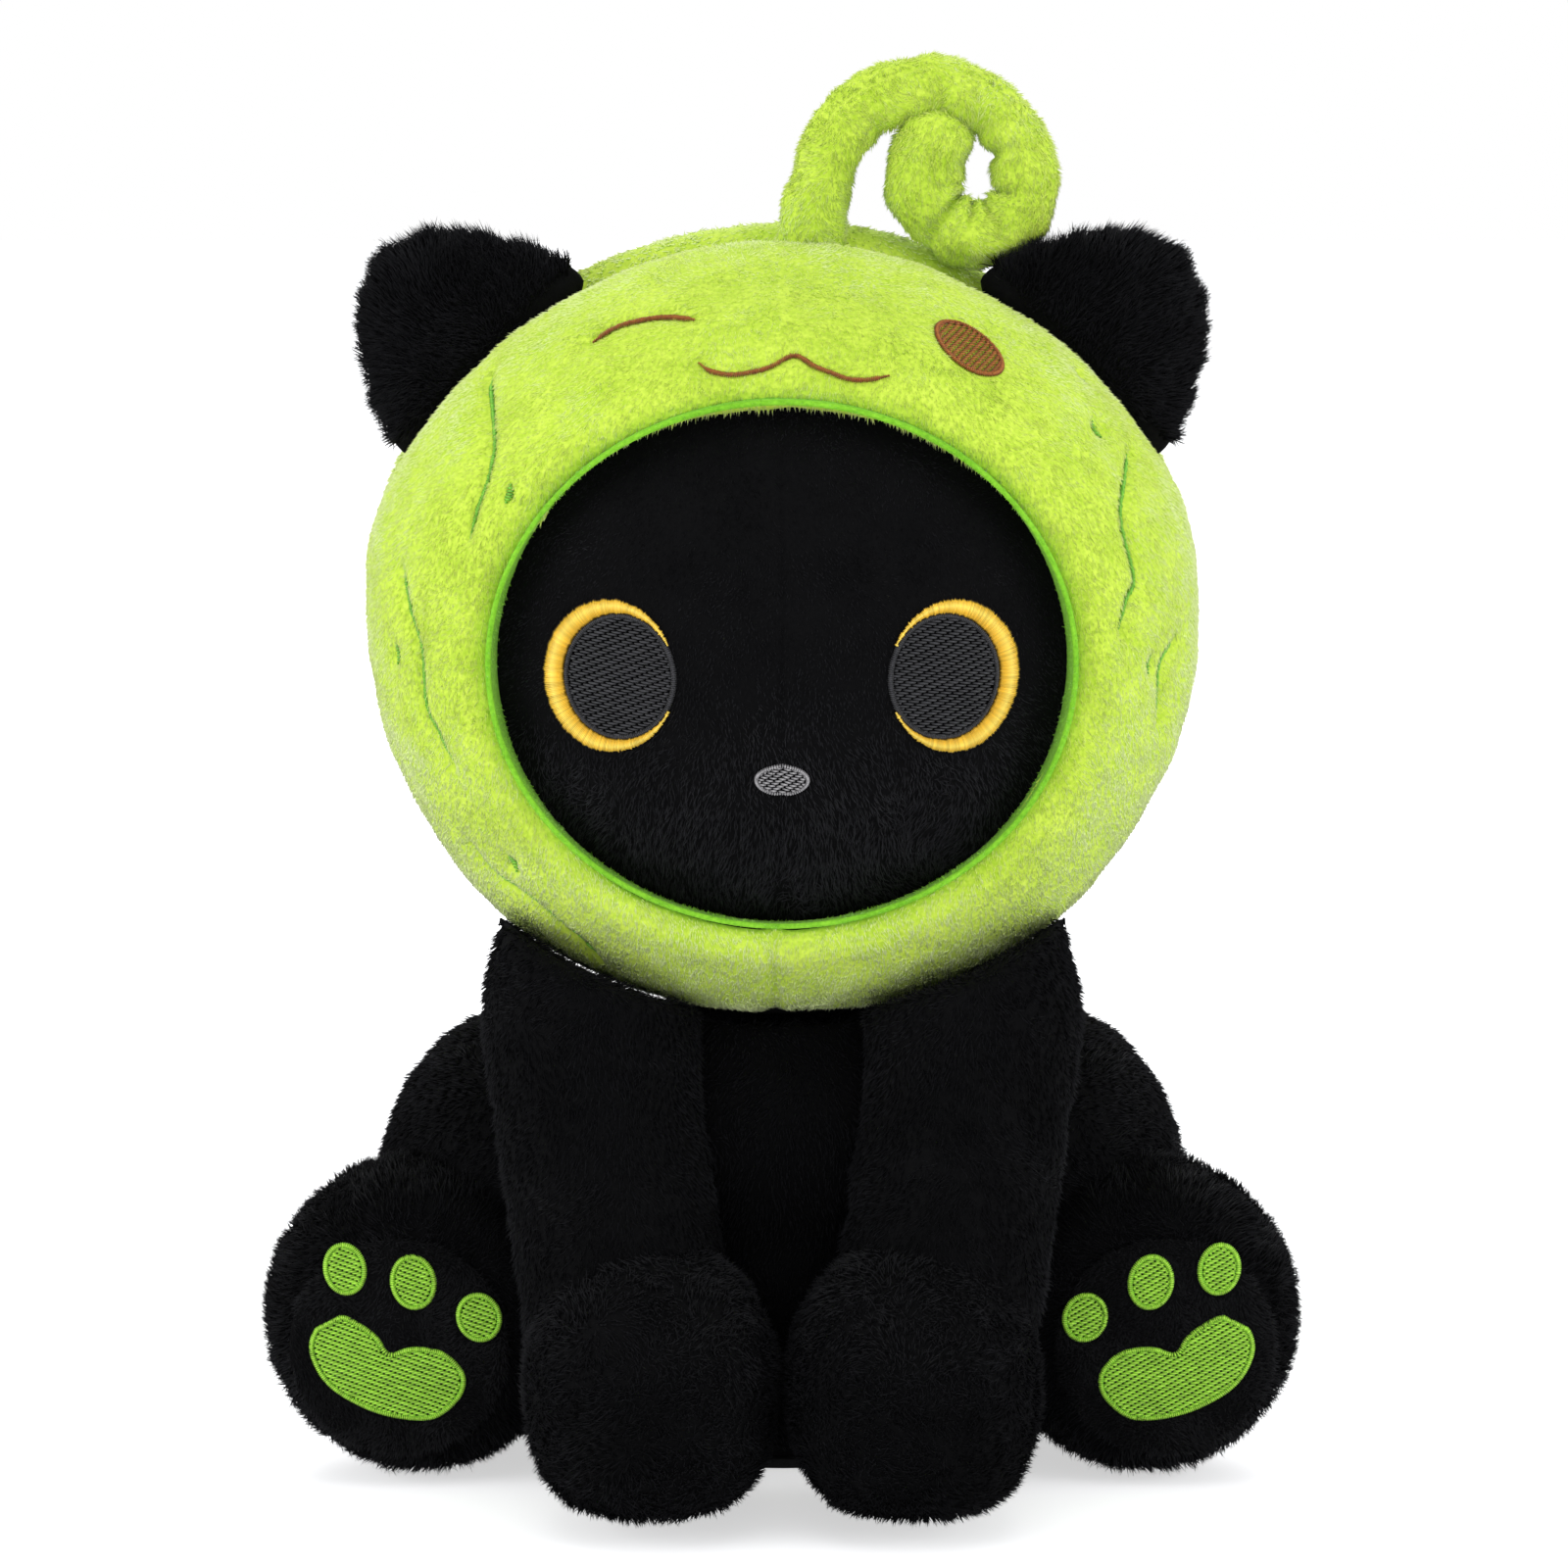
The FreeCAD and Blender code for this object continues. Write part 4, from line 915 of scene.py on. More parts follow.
half_x, half_z = ROUND_EYE_HALF
starts, ends = fill_rows(half_x, half_z, 0.50 * MM, 2.8 * MM, 231,
                         lambda p: in_round_eye(p, 0.5 * MM), tilt=8)
fill = stitches("round_eye_fill", on_round_eye(starts, 0.4 * MM), on_round_eye(ends, 0.4 * MM),
                np.broadcast_to(eye_normal, (len(starts), 3)), 0.46 * MM, 0.4 * MM, 232)
starts, ends = oval_border(half_x, half_z, 1.3 * MM, 0.42 * MM, tilt=ROUND_EYE_TILT)
border = stitches("round_eye_border", on_round_eye(starts, 0.5 * MM), on_round_eye(ends, 0.3 * MM),
                  np.broadcast_to(eye_normal, (len(starts), 3)), 0.42 * MM, 0.5 * MM, 233)
finish_piece(merged("hood_round_eye", [fill, border]), brown_thread, body="head",
             stands_for=("hood_round_eye_patch",))

# ---------------------------------------------------------------- face
# Short black plush in two panels with a seam down the middle, over a ball of
# fibre stuffing. The nap is brushed down and lies longer over the cheeks.
EYE_HALF = np.array([11.6, 13.0]) * MM
RING_HALF = np.array([13.6, 15.8]) * MM
RING_SHIFT = 2.2 * MM
NOSE_HALF = np.array([5.6, 3.2]) * MM
eyes = {side: (sum(corners(f"eye_pupil_{side}")) / 2)[[0, 2]] for side, sign in SIDES}
nose_middle = (sum(corners("nose_patch")) / 2)[[0, 2]]


def face_lift(points):
    """How far the stuffed skin stands off the plain ellipsoid, along its normal."""
    front_side = points[:, 1] < HEAD[1]
    lift = 0.35 * MM * ripple(points, 38 * MM, 12)
    lift -= 0.55 * MM * hump(points[:, 0], 0.9 * MM) * front_side
    muzzle = np.exp(-((points[:, 0] / (21 * MM)) ** 2
                      + ((points[:, 2] - nose_middle[1] + 8 * MM) / (15 * MM)) ** 2))
    lift += 1.4 * MM * muzzle * front_side
    for middle in eyes.values():
        gap = np.linalg.norm((points[:, [0, 2]] - middle) / (RING_HALF + 1.5 * MM), axis=1)
        lift -= 0.5 * MM * np.exp(-gap ** 6) * front_side
    return lift


def face_surface(x, z, over=0.0):
    """Point of the stuffed face in front of a place in the XZ plane, and the normal there."""
    x, z = np.asarray(x, float), np.asarray(z, float)
    y = HEAD[1] - SKIN_HALF[1] * np.sqrt(np.clip(
        1 - (x / SKIN_HALF[0]) ** 2 - ((z - HEAD[2]) / SKIN_HALF[2]) ** 2, 0.001, 1))
    points = np.stack([x, y, z], -1)
    normal = shell_normal(SKIN_HALF, points)
    return points + normal * (face_lift(points) + over)[:, None], normal


face = ball("face_skin", HEAD, SKIN_HALF, 180, 104, pole="Y")
points = points_of(face)
place_points(face, points + shell_normal(SKIN_HALF, points) * face_lift(points)[:, None])
black_ground = velour_ground_material("black_plush_ground", "#040405", "#0A0A0B", 0.8 * MM, 0.02,
                                      "#8A8C92", gloss=0.05)
face_pile = velour_pile_material("short_black_plush_pile", "#040405", "#0A0A0B", "#17171A", 0.06,
                                 "#9A9CA4", 0.72, gloss=0.08, spread=(0.0, 4.6))


def face_comb(points):
    out = points - HEAD
    return np.stack([0.5 * out[:, 0] / 60 / MM, np.zeros(len(points)), -np.ones(len(points))], 1)


def bare_face(points):
    """Pile stands where the face opening shows the skin, but not under the embroidery."""
    flat = points[:, [0, 2]]
    shown = (points[:, 1] < HEAD[1]) * (np.linalg.norm(
        (flat - [0, HEAD[2] - OPENING_DROP]) / (FACE_OPENING - 1.2 * MM), axis=1) < 1)
    for side, sign in SIDES:
        shown = shown * (np.linalg.norm((flat - eyes[side]) / (EYE_HALF - 0.2 * MM), axis=1) > 1)
        ring = eyes[side] + np.array([sign * RING_SHIFT, 0])
        shown = shown * (np.linalg.norm((flat - ring) / (RING_HALF - 0.4 * MM), axis=1) > 1)
    return shown * (np.linalg.norm((flat - nose_middle) / (np.array([5.4, 3.0]) * MM), axis=1) > 1)


def cheek_light(points):
    """Painted highlight: the tufts grow paler down over the cheeks, where the longer nap would catch more
    light.
    """
    return 0.55 * np.clip((HEAD[2] - 2 * MM - points[:, 2]) / (26 * MM), 0, 1) - 0.19


def cheek_length(points):
    """The nap is clipped short over the brow and left longer below the eyes."""
    return 0.8 + 0.9 * np.clip((HEAD[2] - 6 * MM - points[:, 2]) / (35 * MM), 0, 1)


plush(face, (black_ground, face_pile), "black_short_plush", "face_pile", body="head", fill=0.8,
      stands_for=("face_panel_left", "face_panel_right"), count=22500, length=1.5 * MM,
      width=0.40 * MM, lean=66, comb=face_comb, seed=131, where=bare_face, wander=0.5,
      long=cheek_length, light=cheek_light)

# ---------------------------------------------------------------- eyes and nose
# Satin-stitched yellow crescents, charcoal fill-stitched pupils with a satin
# edge, and a small grey oval nose, all sewn through the face plush.
charcoal_thread = thread_material("charcoal_rayon_thread", "#161618", "#27272A", "#3A3A3E")
yellow_thread = thread_material("yellow_rayon_thread", "#BC8A14", "#F0C434", "#FCE46C")
grey_thread = thread_material("grey_rayon_thread", "#565457", "#807E80", "#A8A6A8")


def on_face(flat, middle, over):
    return face_surface(flat[:, 0] + middle[0], flat[:, 1] + middle[1], over)


def face_patch(name, middle, half, thread, material, node, seed, row_gap, stitch, border):
    """Filled oval with a satin edge, sewn on the face."""
    filled = half - border * 0.7
    starts, ends = fill_rows(half[0], half[1], row_gap, stitch, seed, lambda p: (
        (p[:, 0] / filled[0]) ** 2 + (p[:, 1] / filled[1]) ** 2 < 1), tilt=-6)
    begin, normal = on_face(starts, middle, 0.35 * MM)
    stop, _ = on_face(ends, middle, 0.35 * MM)
    fill = stitches(name + "_fill", begin, stop, normal, thread * 1.1, 0.4 * MM, seed + 1)
    starts, ends = oval_border(half[0], half[1], border, 0.42 * MM)
    begin, normal = on_face(starts, middle, 0.5 * MM)
    stop, _ = on_face(ends, middle, 0.25 * MM)
    edge = stitches(name + "_edge", begin, stop, normal, thread, 0.5 * MM, seed + 2)
    finish_piece(merged(name, [fill, edge]), material, body="head", stands_for=(node,))


for side, sign in SIDES:
    middle = eyes[side]
    ring_middle = middle + np.array([sign * RING_SHIFT, 0])
    turn = np.radians(np.linspace(0, 360, 260, endpoint=False))
    rng = np.random.default_rng(240 + sign)
    outer = ring_middle + np.stack([RING_HALF[0] * np.cos(turn), RING_HALF[1] * np.sin(turn)], 1)
    away = outer - middle
    share = np.linalg.norm(away / EYE_HALF, axis=1)
    inner = middle + away / share[:, None] * 0.985
    wide = np.linalg.norm(outer - inner, axis=1)
    shown = (share > 1.0) & (wide > 0.35 * MM)
    jag = rng.uniform(-0.25, 0.35, len(turn))[:, None] * MM
    out = unit(away)
    inner, outer = (inner - out * np.clip(jag, 0, 1))[shown], (outer + out * jag * 0.6)[shown]
    begin, normal = face_surface(inner[:, 0], inner[:, 1], 0.35 * MM)
    stop, _ = face_surface(outer[:, 0], outer[:, 1], 0.2 * MM)
    ring = stitches(f"eye_crescent_{side}", begin, stop, normal, 0.42 * MM, 0.75 * MM, 250 + sign)
    finish_piece(ring, yellow_thread, body="head", stands_for=(f"eye_ring_{side}",))
    face_patch(f"eye_dark_{side}", middle, EYE_HALF, 0.42 * MM, charcoal_thread,
               f"eye_pupil_{side}", 260 + 10 * sign, row_gap=0.55 * MM, stitch=2.6 * MM,
               border=1.2 * MM)
face_patch("nose", nose_middle, NOSE_HALF, 0.42 * MM, grey_thread, "nose_patch", 280,
           row_gap=0.5 * MM, stitch=1.8 * MM, border=0.9 * MM)

# ---------------------------------------------------------------- stem
# A stuffed tube of the same lime velour, sewn shut along its length and
# curled over. It puckers inside each bend and its blunt tip turns in.


def arc_points(start, heading, turns, out, up, step):
    """Points and directions along tangent arcs; turns are (radius in mm, degrees) to the right."""
    position, angle = np.array(start, float), math.radians(heading)
    places, ways = [], []
    for radius_mm, degrees in turns:
        radius = radius_mm * MM
        hand = 1 if degrees > 0 else -1
        right = (out * math.sin(angle) - up * math.cos(angle)) * hand
        centre = position + right * radius
        turn = math.radians(abs(degrees))
        along = out * math.cos(angle) + up * math.sin(angle)
        for part in np.linspace(0, turn, max(int(radius * turn / step), 3), endpoint=False):
            places.append(centre - right * radius * math.cos(part) + along * radius * math.sin(part))
            ways.append(along * math.cos(part) + right * math.sin(part))
        position = centre - right * radius * math.cos(turn) + along * radius * math.sin(turn)
        angle -= math.radians(degrees)
    return np.array(places), np.array(ways)


def stuffed_tube(name, line, ways, radius, tip):
    """Bevelled curve made a mesh: rings round a line, drawn in to a blunt end past it."""
    ahead = np.linspace(0, 0.96, 9)[1:, None] * tip
    line = np.concatenate([line, line[-1] + ways[-1] * ahead])
    bpy.ops.object.select_all(action="DESELECT")
    bpy.ops.curve.primitive_nurbs_path_add()
    obj = bpy.context.object
    obj.name = name
    obj.location = (0, 0, 0)
    curve = obj.data
    curve.splines.clear()
    spline = curve.splines.new("POLY")
    spline.points.add(len(line) - 1)
    spline.points.foreach_set("co", np.concatenate([line, np.ones((len(line), 1))], 1).ravel())
    curve.dimensions = "3D"
    curve.bevel_depth = radius
    curve.bevel_resolution = 14
    only(obj)
    bpy.ops.object.convert(target="MESH")
    points = points_of(obj)
    rings = points.reshape(len(line), -1, 3)
    middle = rings.mean(1, keepdims=True)
    run = run_of(line)
    past = np.clip((run - (run[-1] - 0.96 * tip)) / tip, 0, 1)
    rings = middle + (rings - middle) * np.sqrt(1 - past ** 2)[:, None, None]
    return obj, rings, middle, run


def ring_ripple(rings, size, seed):
    return ripple(rings.reshape(-1, 3), size, seed).reshape(rings.shape[:2])


def close_tube(obj, rings):
    """Set a tube's rings, fill its open ends and point its faces outwards."""
    place_points(obj, rings.reshape(-1, 3))
    only(obj)
    bpy.ops.object.mode_set(mode="EDIT")
    bpy.ops.mesh.select_all(action="DESELECT")
    bpy.ops.mesh.select_mode(type="EDGE")
    bpy.ops.mesh.select_non_manifold()
    bpy.ops.mesh.edge_face_add()
    bpy.ops.mesh.select_all(action="SELECT")
    bpy.ops.mesh.quads_convert_to_tris(ngon_method="BEAUTY")
    bpy.ops.mesh.normals_make_consistent(inside=False)
    bpy.ops.object.mode_set(mode="OBJECT")


STEM_RADIUS = 6.7 * MM
STEM_ARCS = [(76, 17), (22, 68.5), (20.5, 90), (10.0, 95), (11.2, 95), (26, 20)]
# puckers: where along the tube (mm), how deep, how wide (mm)
PUCKERS = [(20, 0.08, 3.0), (33, 0.12, 2.8), (43, 0.10, 2.2), (52, 0.18, 2.6), (63, 0.12, 2.4),
           (71, 0.20, 2.2), (82, 0.28, 2.2), (92, 0.16, 1.8), (99, 0.24, 1.8), (112, 0.12, 1.8)]
stem_root = np.array([5.2 * MM, HEAD[1] + 8 * MM, HEAD[2] + HOOD_HALF[2] - 5.4 * MM])
stem_line, stem_ways = arc_points(stem_root, 85.5, STEM_ARCS, np.array([1.0, 0, 0]),
                                  np.array([0, 0, 1.0]), 0.8 * MM)
stem, rings, middle, run = stuffed_tube("stem_skin", stem_line, stem_ways, STEM_RADIUS, 6 * MM)
spread = rings - middle
# the side of the tube that faces the inside of each bend, and the side that faces forwards
ways = unit(np.gradient(middle[:, 0], axis=0))
inside = np.stack([ways[:, 2], 0 * ways[:, 0], -ways[:, 0]], 1)
facing_in = np.einsum("rvk,rk->rv", spread, inside) / STEM_RADIUS
forward = -spread[:, :, 1] / STEM_RADIUS
far = run[:, None] / MM
swell = 1 + 0.05 * ring_ripple(rings, 16 * MM, 41)
swell += 0.05 * ring_ripple(rings, 7 * MM, 42)
for at, deep, wide in PUCKERS:
    fold = hump(far - at - 1.2 * facing_in, wide)
    swell -= deep * fold * np.clip(0.35 + 0.65 * facing_in, 0, 1)
    swell += 0.4 * deep * hump(far - at - 3.4, 2.2) * np.clip(facing_in, 0, 1)
# a deep fold crosses it where the curl turns up, and the tip past it is the fattest part
swell -= 0.34 * hump(far - 105.5 - 1.5 * facing_in, 1.5) * np.clip(0.55 + 0.6 * forward, 0, 1)
swell += 0.08 * hump(far - 98, 5) + 0.20 * np.clip((far - 107) / 5, 0, 1)
# the sewn edge down its outer side
seam_side = np.einsum("rvk,rk->rv", spread, -inside) / STEM_RADIUS
swell -= 0.10 * hump(np.arctan2(forward, seam_side) - 0.75, 0.14)
root_flare = np.clip(1 - run / (9 * MM), 0, 1)[:, None] ** 2
rings = middle + spread * (swell + 0.16 * root_flare)[:, :, None]
close_tube(stem, rings)


def stem_comb(points):
    return np.stack([0.5 * ripple(points, 20 * MM, 43), 0.4 * ripple(points, 20 * MM, 44),
                     -np.ones(len(points))], 1)


plush(stem, (lime_ground, lime_pile), "lime_plush", "stem_pile", fill=0.8,
      bend=("head", "stem", tuple(stem_root + [0, 0, 4 * MM]), tuple(stem_root + [2 * MM, 0, 18 * MM])),
      stands_for=("stem_cover", "stem_filling"), count=19500, length=1.7 * MM, width=0.40 * MM,
      lean=58, comb=stem_comb, seed=141, wander=0.7, rough=0.8,
      light=lambda p: np.full(len(p), 0.14))

# ---------------------------------------------------------------- ears
# Two triangles of long black plush sewn edge to edge, lightly stuffed and set
# into the seam of the hood. The fringe is longest round the rim.
EAR_LEAN = math.radians(44.5)
EAR_REACH, EAR_DEPTH, EAR_SLIDE = 32.5 * MM, 14 * MM, 2.0 * MM
EAR_MIDDLE = np.array([0.0, 10.0]) * MM
# half of an ear's outline in mm, from its middle line down to its base
EAR_OUTLINE = [(0, 28.8), (7, 27.5), (12.5, 23.5), (17.5, 17), (22.5, 9.5), (26.5, 1), (29, -8)]


def swell_up(obj, pressure, cap):
    """Blow the sewn skin up like its stuffing does, each point moving no further than the cap."""
    modify(obj, "REMESH", mode="VOXEL", voxel_size=4.0 * MM)
    rest = points_of(obj)
    cloth = obj.modifiers.new("cloth", "CLOTH")
    cloth.settings.quality = 5
    cloth.settings.mass = 0.1
    cloth.settings.use_pressure = True
    cloth.settings.uniform_pressure_force = pressure
    cloth.settings.effector_weights.gravity = 0.0
    cloth.point_cache.frame_start, cloth.point_cache.frame_end = 1, 20
    for number in range(1, 21):
        bpy.context.scene.frame_set(number)
    blown = obj.evaluated_get(bpy.context.evaluated_depsgraph_get())
    moved = points_of(blown) - rest
    far = np.linalg.norm(moved, axis=1, keepdims=True)
    obj.modifiers.clear()
    place_points(obj, rest + moved * np.minimum(1, cap / np.maximum(far, 1e-9)))
    bpy.context.scene.frame_set(1)
    modify(obj, "SUBSURF", levels=1)


def ear_edge(angle):
    """Distance from an ear's middle to its rounded outline, in the ear's own plane."""
    mirrored = [(-x, y) for x, y in EAR_OUTLINE[:0:-1]]
    marks = np.array([*mirrored, *EAR_OUTLINE, (0, -9)]) * MM
    loop = np.concatenate([marks, marks[:1]])
    dense = np.concatenate([np.linspace(loop[k], loop[k + 1], 40, endpoint=False)
                            for k in range(len(marks))])
    for _ in range(25):
        dense = (np.roll(dense, 1, 0) + 2 * dense + np.roll(dense, -1, 0)) / 4
    away = dense - EAR_MIDDLE
    turns = np.arctan2(away[:, 1], away[:, 0])
    order = np.argsort(turns)
    return np.interp(angle, turns[order], np.linalg.norm(away, axis=1)[order], period=2 * math.pi)


black_pile = velour_pile_material("long_black_plush_pile", "#010101", "#030304", "#131315", 0.04,
                                  "#A4A6AE", 0.66, gloss=0.06, spread=(0.25, 3.4))
BLACK_PLUSH = (black_ground, black_pile)
for side, sign in SIDES:
    ear = ball(f"ear_skin_{side}", (0, 0, 0), (1, 1, 1), 48, 32, pole="Y")
    p = points_of(ear)
    angle = np.arctan2(p[:, 2], p[:, 0])
    out = np.hypot(p[:, 0], p[:, 2])
    reach = ear_edge(angle) * out
    thick = EAR_DEPTH / 2 * np.sign(p[:, 1]) * np.abs(p[:, 1]) ** 0.85
    local = np.stack([reach * np.cos(angle), thick, EAR_MIDDLE[1] + reach * np.sin(angle)], 1)
    local[:, 1] += 1.5 * MM * (local[:, 2] / EAR_REACH) ** 2
    local[:, 0] += sign * EAR_SLIDE
    place_points(ear, local)
    swell_up(ear, 3.0, 1.5 * MM)
    base = np.array([sign * HOOD_HALF[0] * math.sin(EAR_LEAN), hood_seam_y,
                     HEAD[2] + HOOD_HALF[2] * math.cos(EAR_LEAN)])
    turn = Matrix.Rotation(sign * EAR_LEAN, 4, "Y")
    turn.translation = Vector(base)
    ear.data.transform(turn)
    outwards = np.array([sign * math.sin(EAR_LEAN), 0, math.cos(EAR_LEAN)])
    bend = ("head", f"ear_{side}", tuple(base - outwards * 2 * MM), tuple(base + outwards * 9 * MM))

    def ear_comb(points):
        away = points - base
        away[:, 1] *= 0.6
        return away / 30 / MM + outwards * 0.8 + [0, 0, -0.15]

    def fringe(points):
        local = points - base
        up = local @ outwards
        level = np.array([math.cos(EAR_LEAN), 0, -sign * math.sin(EAR_LEAN)])
        across = local @ level - sign * EAR_SLIDE
        edge = ear_edge(np.arctan2(up - EAR_MIDDLE[1], across))
        near = np.hypot(across, up - EAR_MIDDLE[1]) / edge
        return 1 + 0.5 * np.clip((near - 0.75) / 0.3, 0, 1)

    plush(ear, BLACK_PLUSH, "black_plush", f"ear_pile_{side}", bend=bend, fill=0.5,
          stands_for=(f"ear_cover_{side}", f"ear_filling_{side}"), count=14000, length=3.3 * MM,
          width=0.40 * MM, lean=56, comb=ear_comb, seed=151 + sign, wander=0.5, long=fringe,
          where=lambda p: (p - base) @ outwards > -1 * MM)

# ---------------------------------------------------------------- torso and neck
# Pear-shaped trunk of black plush over fibre stuffing, with a pellet pouch at
# its base, a flat seat panel and a short neck under the hood.
NECK_RADIUS = 18.5 * MM
# balls of stuffing that make the trunk: middle and half size in mm
TRUNK = [("belly", (0, 0, 42), (47, 43.5, 49)), ("chest", (0, -26, 78), (32.5, 22.5, 40)),
         ("collar", (0, -31, 80), (33, 23, 29))]
bpy.ops.object.select_all(action="DESELECT")
bpy.ops.mesh.primitive_cylinder_add(
    vertices=40, radius=NECK_RADIUS, depth=neck_high[2] - neck_low[2] + 1.2 * MM,
    location=tuple((neck_low + neck_high) / 2))
neck = bpy.context.object
neck.name = "neck_skin"
bpy.ops.object.transform_apply(location=True)
modify(neck, "BEVEL", width=1.5 * MM, segments=3)
modify(neck, "SUBSURF", levels=1)
shade_smooth(neck)
finish_piece(neck, black_ground, body="neck",
             stands_for=("neck_cover", "neck_filling"))

torso_low, torso_high = corners("torso_cover")


def clear_of_hood(points, room):
    """Keep soft pieces out of the hood, and the fronts of the shoulders below its lower edge."""
    half = HOOD_HALF + room + [0, 0, 3.0 * MM]
    away = points - HEAD
    size = np.sqrt(np.sum((away / half) ** 2, axis=1, keepdims=True))
    points = np.where(size < 1, HEAD + away / np.maximum(size, 1e-6), points)
    across = np.clip((points[:, 0] - HEAD[0]) / HOOD_HALF[0], -1, 1)
    edge = HEAD[2] - (HOOD_HALF[2] + 2.5 * MM) * np.sqrt(1 - across ** 2) + 0.6 * MM
    over = np.maximum(points[:, 2] - edge, 0)
    forward = np.clip((HEAD[1] - 2 * MM - points[:, 1]) / (14 * MM), 0, 1)
    points[:, 2] -= forward * (over - 5 * MM * (1 - np.exp(-over / (5 * MM))))
    return points


torso = merged("torso_skin", [ball(name, np.array(middle) * MM, np.array(half) * MM, 40, 24)
                              for name, middle, half in TRUNK])
swell_up(torso, 4.0, 1.5 * MM)
points = clear_of_hood(points_of(torso), 2.2 * MM)
points[:, 0] = np.clip(points[:, 0], torso_low[0] + 0.6 * MM, torso_high[0] - 0.6 * MM)
# its top dips round the neck
from_neck = np.hypot(points[:, 0], points[:, 1] - (neck_low[1] + neck_high[1]) / 2)
top = torso_high[2] + 8 * MM * np.clip((from_neck - 20 * MM) / (4 * MM), 0, 1)
points[:, 2] = np.clip(points[:, 2], torso_low[2] + 0.3 * MM, top)
place_points(torso, points)


def torso_shown(points):
    return ((points[:, 2] > 6 * MM) * (points[:, 2] < 110 * MM)
            * (np.abs(points[:, 0]) < torso_high[0] - 1.0 * MM))


plush(torso, BLACK_PLUSH, "black_plush", "torso_pile", body="torso", fill=0.8,
      stands_for=("torso_cover", "torso_filling", "pellet_pouch", "pellet_filling"), count=26500,
      length=2.6 * MM, width=0.48 * MM, lean=56, comb=[0.0, 0.1, -1.0], seed=161,
      where=torso_shown, light=lambda p: np.full(len(p), 0.28))

# Seat panel: a flat oval of plain black knit that the toy rests on.
seat_knit = velour_ground_material("black_knit_seat_panel", "#0A0A0B", "#161618", 1.2 * MM, 0.0,
                                   "#8A8C92")
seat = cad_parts["seat_panel"]
seat.data.materials.clear()
seat.data.materials.append(seat_knit)

# ---------------------------------------------------------------- front legs and paws
# Straight stuffed legs of black plush that hang from round shoulders under
# the hood, each sewn to a ball-shaped paw that stands on the table.
SHOULDER = np.array([39, -56, 88]) * MM
WRIST = np.array([31.4, -65, 36]) * MM
LEG_RADIUS, UPPER_RADIUS = 21.2 * MM, 20.8 * MM
PAW_MIDDLE = np.array([27.2, -73, 32.2]) * MM
PAW_HALF = np.array([25.8, 27.0, 28.2]) * MM
for side, sign in SIDES:
    shoulder, wrist, paw_middle = (place * [sign, 1, 1] for place in (SHOULDER, WRIST, PAW_MIDDLE))
    bpy.ops.object.select_all(action="DESELECT")
    way = Vector(shoulder - wrist)
    bpy.ops.mesh.primitive_cylinder_add(
        vertices=40, radius=LEG_RADIUS, depth=way.length + 8 * MM,
        location=tuple((shoulder + wrist) / 2), rotation=way.to_track_quat("Z", "Y").to_euler())
    column = bpy.context.object
    bpy.ops.object.transform_apply(location=True, rotation=True)
    cap = ball("cap", shoulder + [sign * 1.0 * MM, 2 * MM, 15 * MM],
               (22.5 * MM, 24 * MM, 34 * MM), 40, 24)
    bpy.ops.object.select_all(action="DESELECT")
    bpy.ops.mesh.primitive_cylinder_add(
        vertices=40, radius=UPPER_RADIUS, depth=46 * MM,
        location=tuple(shoulder + [sign * -0.6 * MM, 3 * MM, 16 * MM]))
    upper = bpy.context.object
    bpy.ops.object.transform_apply(location=True)
    leg = merged(f"front_leg_skin_{side}", [column, cap, upper])
    swell_up(leg, 4.0, 1.4 * MM)
    modify(leg, "SMOOTH", factor=0.5, iterations=4)
    place_points(leg, clear_of_hood(points_of(leg), 2.2 * MM))

    def leg_comb(points):
        level = np.ones(len(points))
        return np.stack([0.25 * (points[:, 0] - shoulder[0]) / 20 / MM, -0.1 * level, -level], 1)

    plush(leg, BLACK_PLUSH, "black_plush", f"front_leg_pile_{side}", fill=0.8,
          bend=("torso", f"front_leg_{side}", tuple(shoulder + [0, 0, 32 * MM]),
                tuple(shoulder + [0, 0, 2 * MM])),
          stands_for=(f"front_leg_cover_{side}", f"front_leg_filling_{side}"), count=18500,
          length=2.7 * MM, width=0.45 * MM, lean=58, comb=leg_comb, seed=171 + sign)

    paw = ball(f"front_paw_skin_{side}", paw_middle, PAW_HALF, 40, 24)
    # its lower half is broad and boxy where the stuffing settles
    away = (points_of(paw) - paw_middle) / PAW_HALF
    power = 2.0 + 0.9 * np.clip(0.3 - away[:, 2], 0, 1)
    size = np.sum(np.abs(away) ** power[:, None], axis=1) ** (1 / power)
    place_points(paw, paw_middle + away / size[:, None] * PAW_HALF)
    swell_up(paw, 4.0, 1.0 * MM)
    points = points_of(paw)
    # the paw settles flat on the table
    low = points[:, 2] < 4 * MM
    points[low, 2] = 1.4 * MM + (points[low, 2] - 1.4 * MM) * 0.3
    place_points(paw, points)

    def paw_comb(points):
        away = points - paw_middle
        return np.stack([0.9 * away[:, 0] / 27 / MM, -0.35 + 0.8 * away[:, 1] / 27 / MM,
                         0.15 + 0.5 * away[:, 2] / 30 / MM], 1)

    def paw_light(points):
        """Painted highlight on the crown and front of the paw, where the brushed-up nap faces the lamps,
        over a tone that wanders at random.
        """
        up = (points - paw_middle) / (30 * MM)
        crown = 0.9 * np.clip(up[:, 2] + 0.1, 0, 1) * np.clip(0.6 - up[:, 1], 0, 1)
        return crown + 0.10 * ripple(points, 20 * MM, 9)

    plush(paw, BLACK_PLUSH, "black_plush", f"front_paw_pile_{side}", body=f"front_leg_{side}",
          fill=0.8, stands_for=(f"front_paw_cover_{side}", f"front_paw_filling_{side}"),
          floor=0.3 * MM, count=18000, length=2.9 * MM, width=0.45 * MM, lean=50, comb=paw_comb,
          seed=181 + sign, where=lambda p: p[:, 2] > 1.6 * MM, light=paw_light)

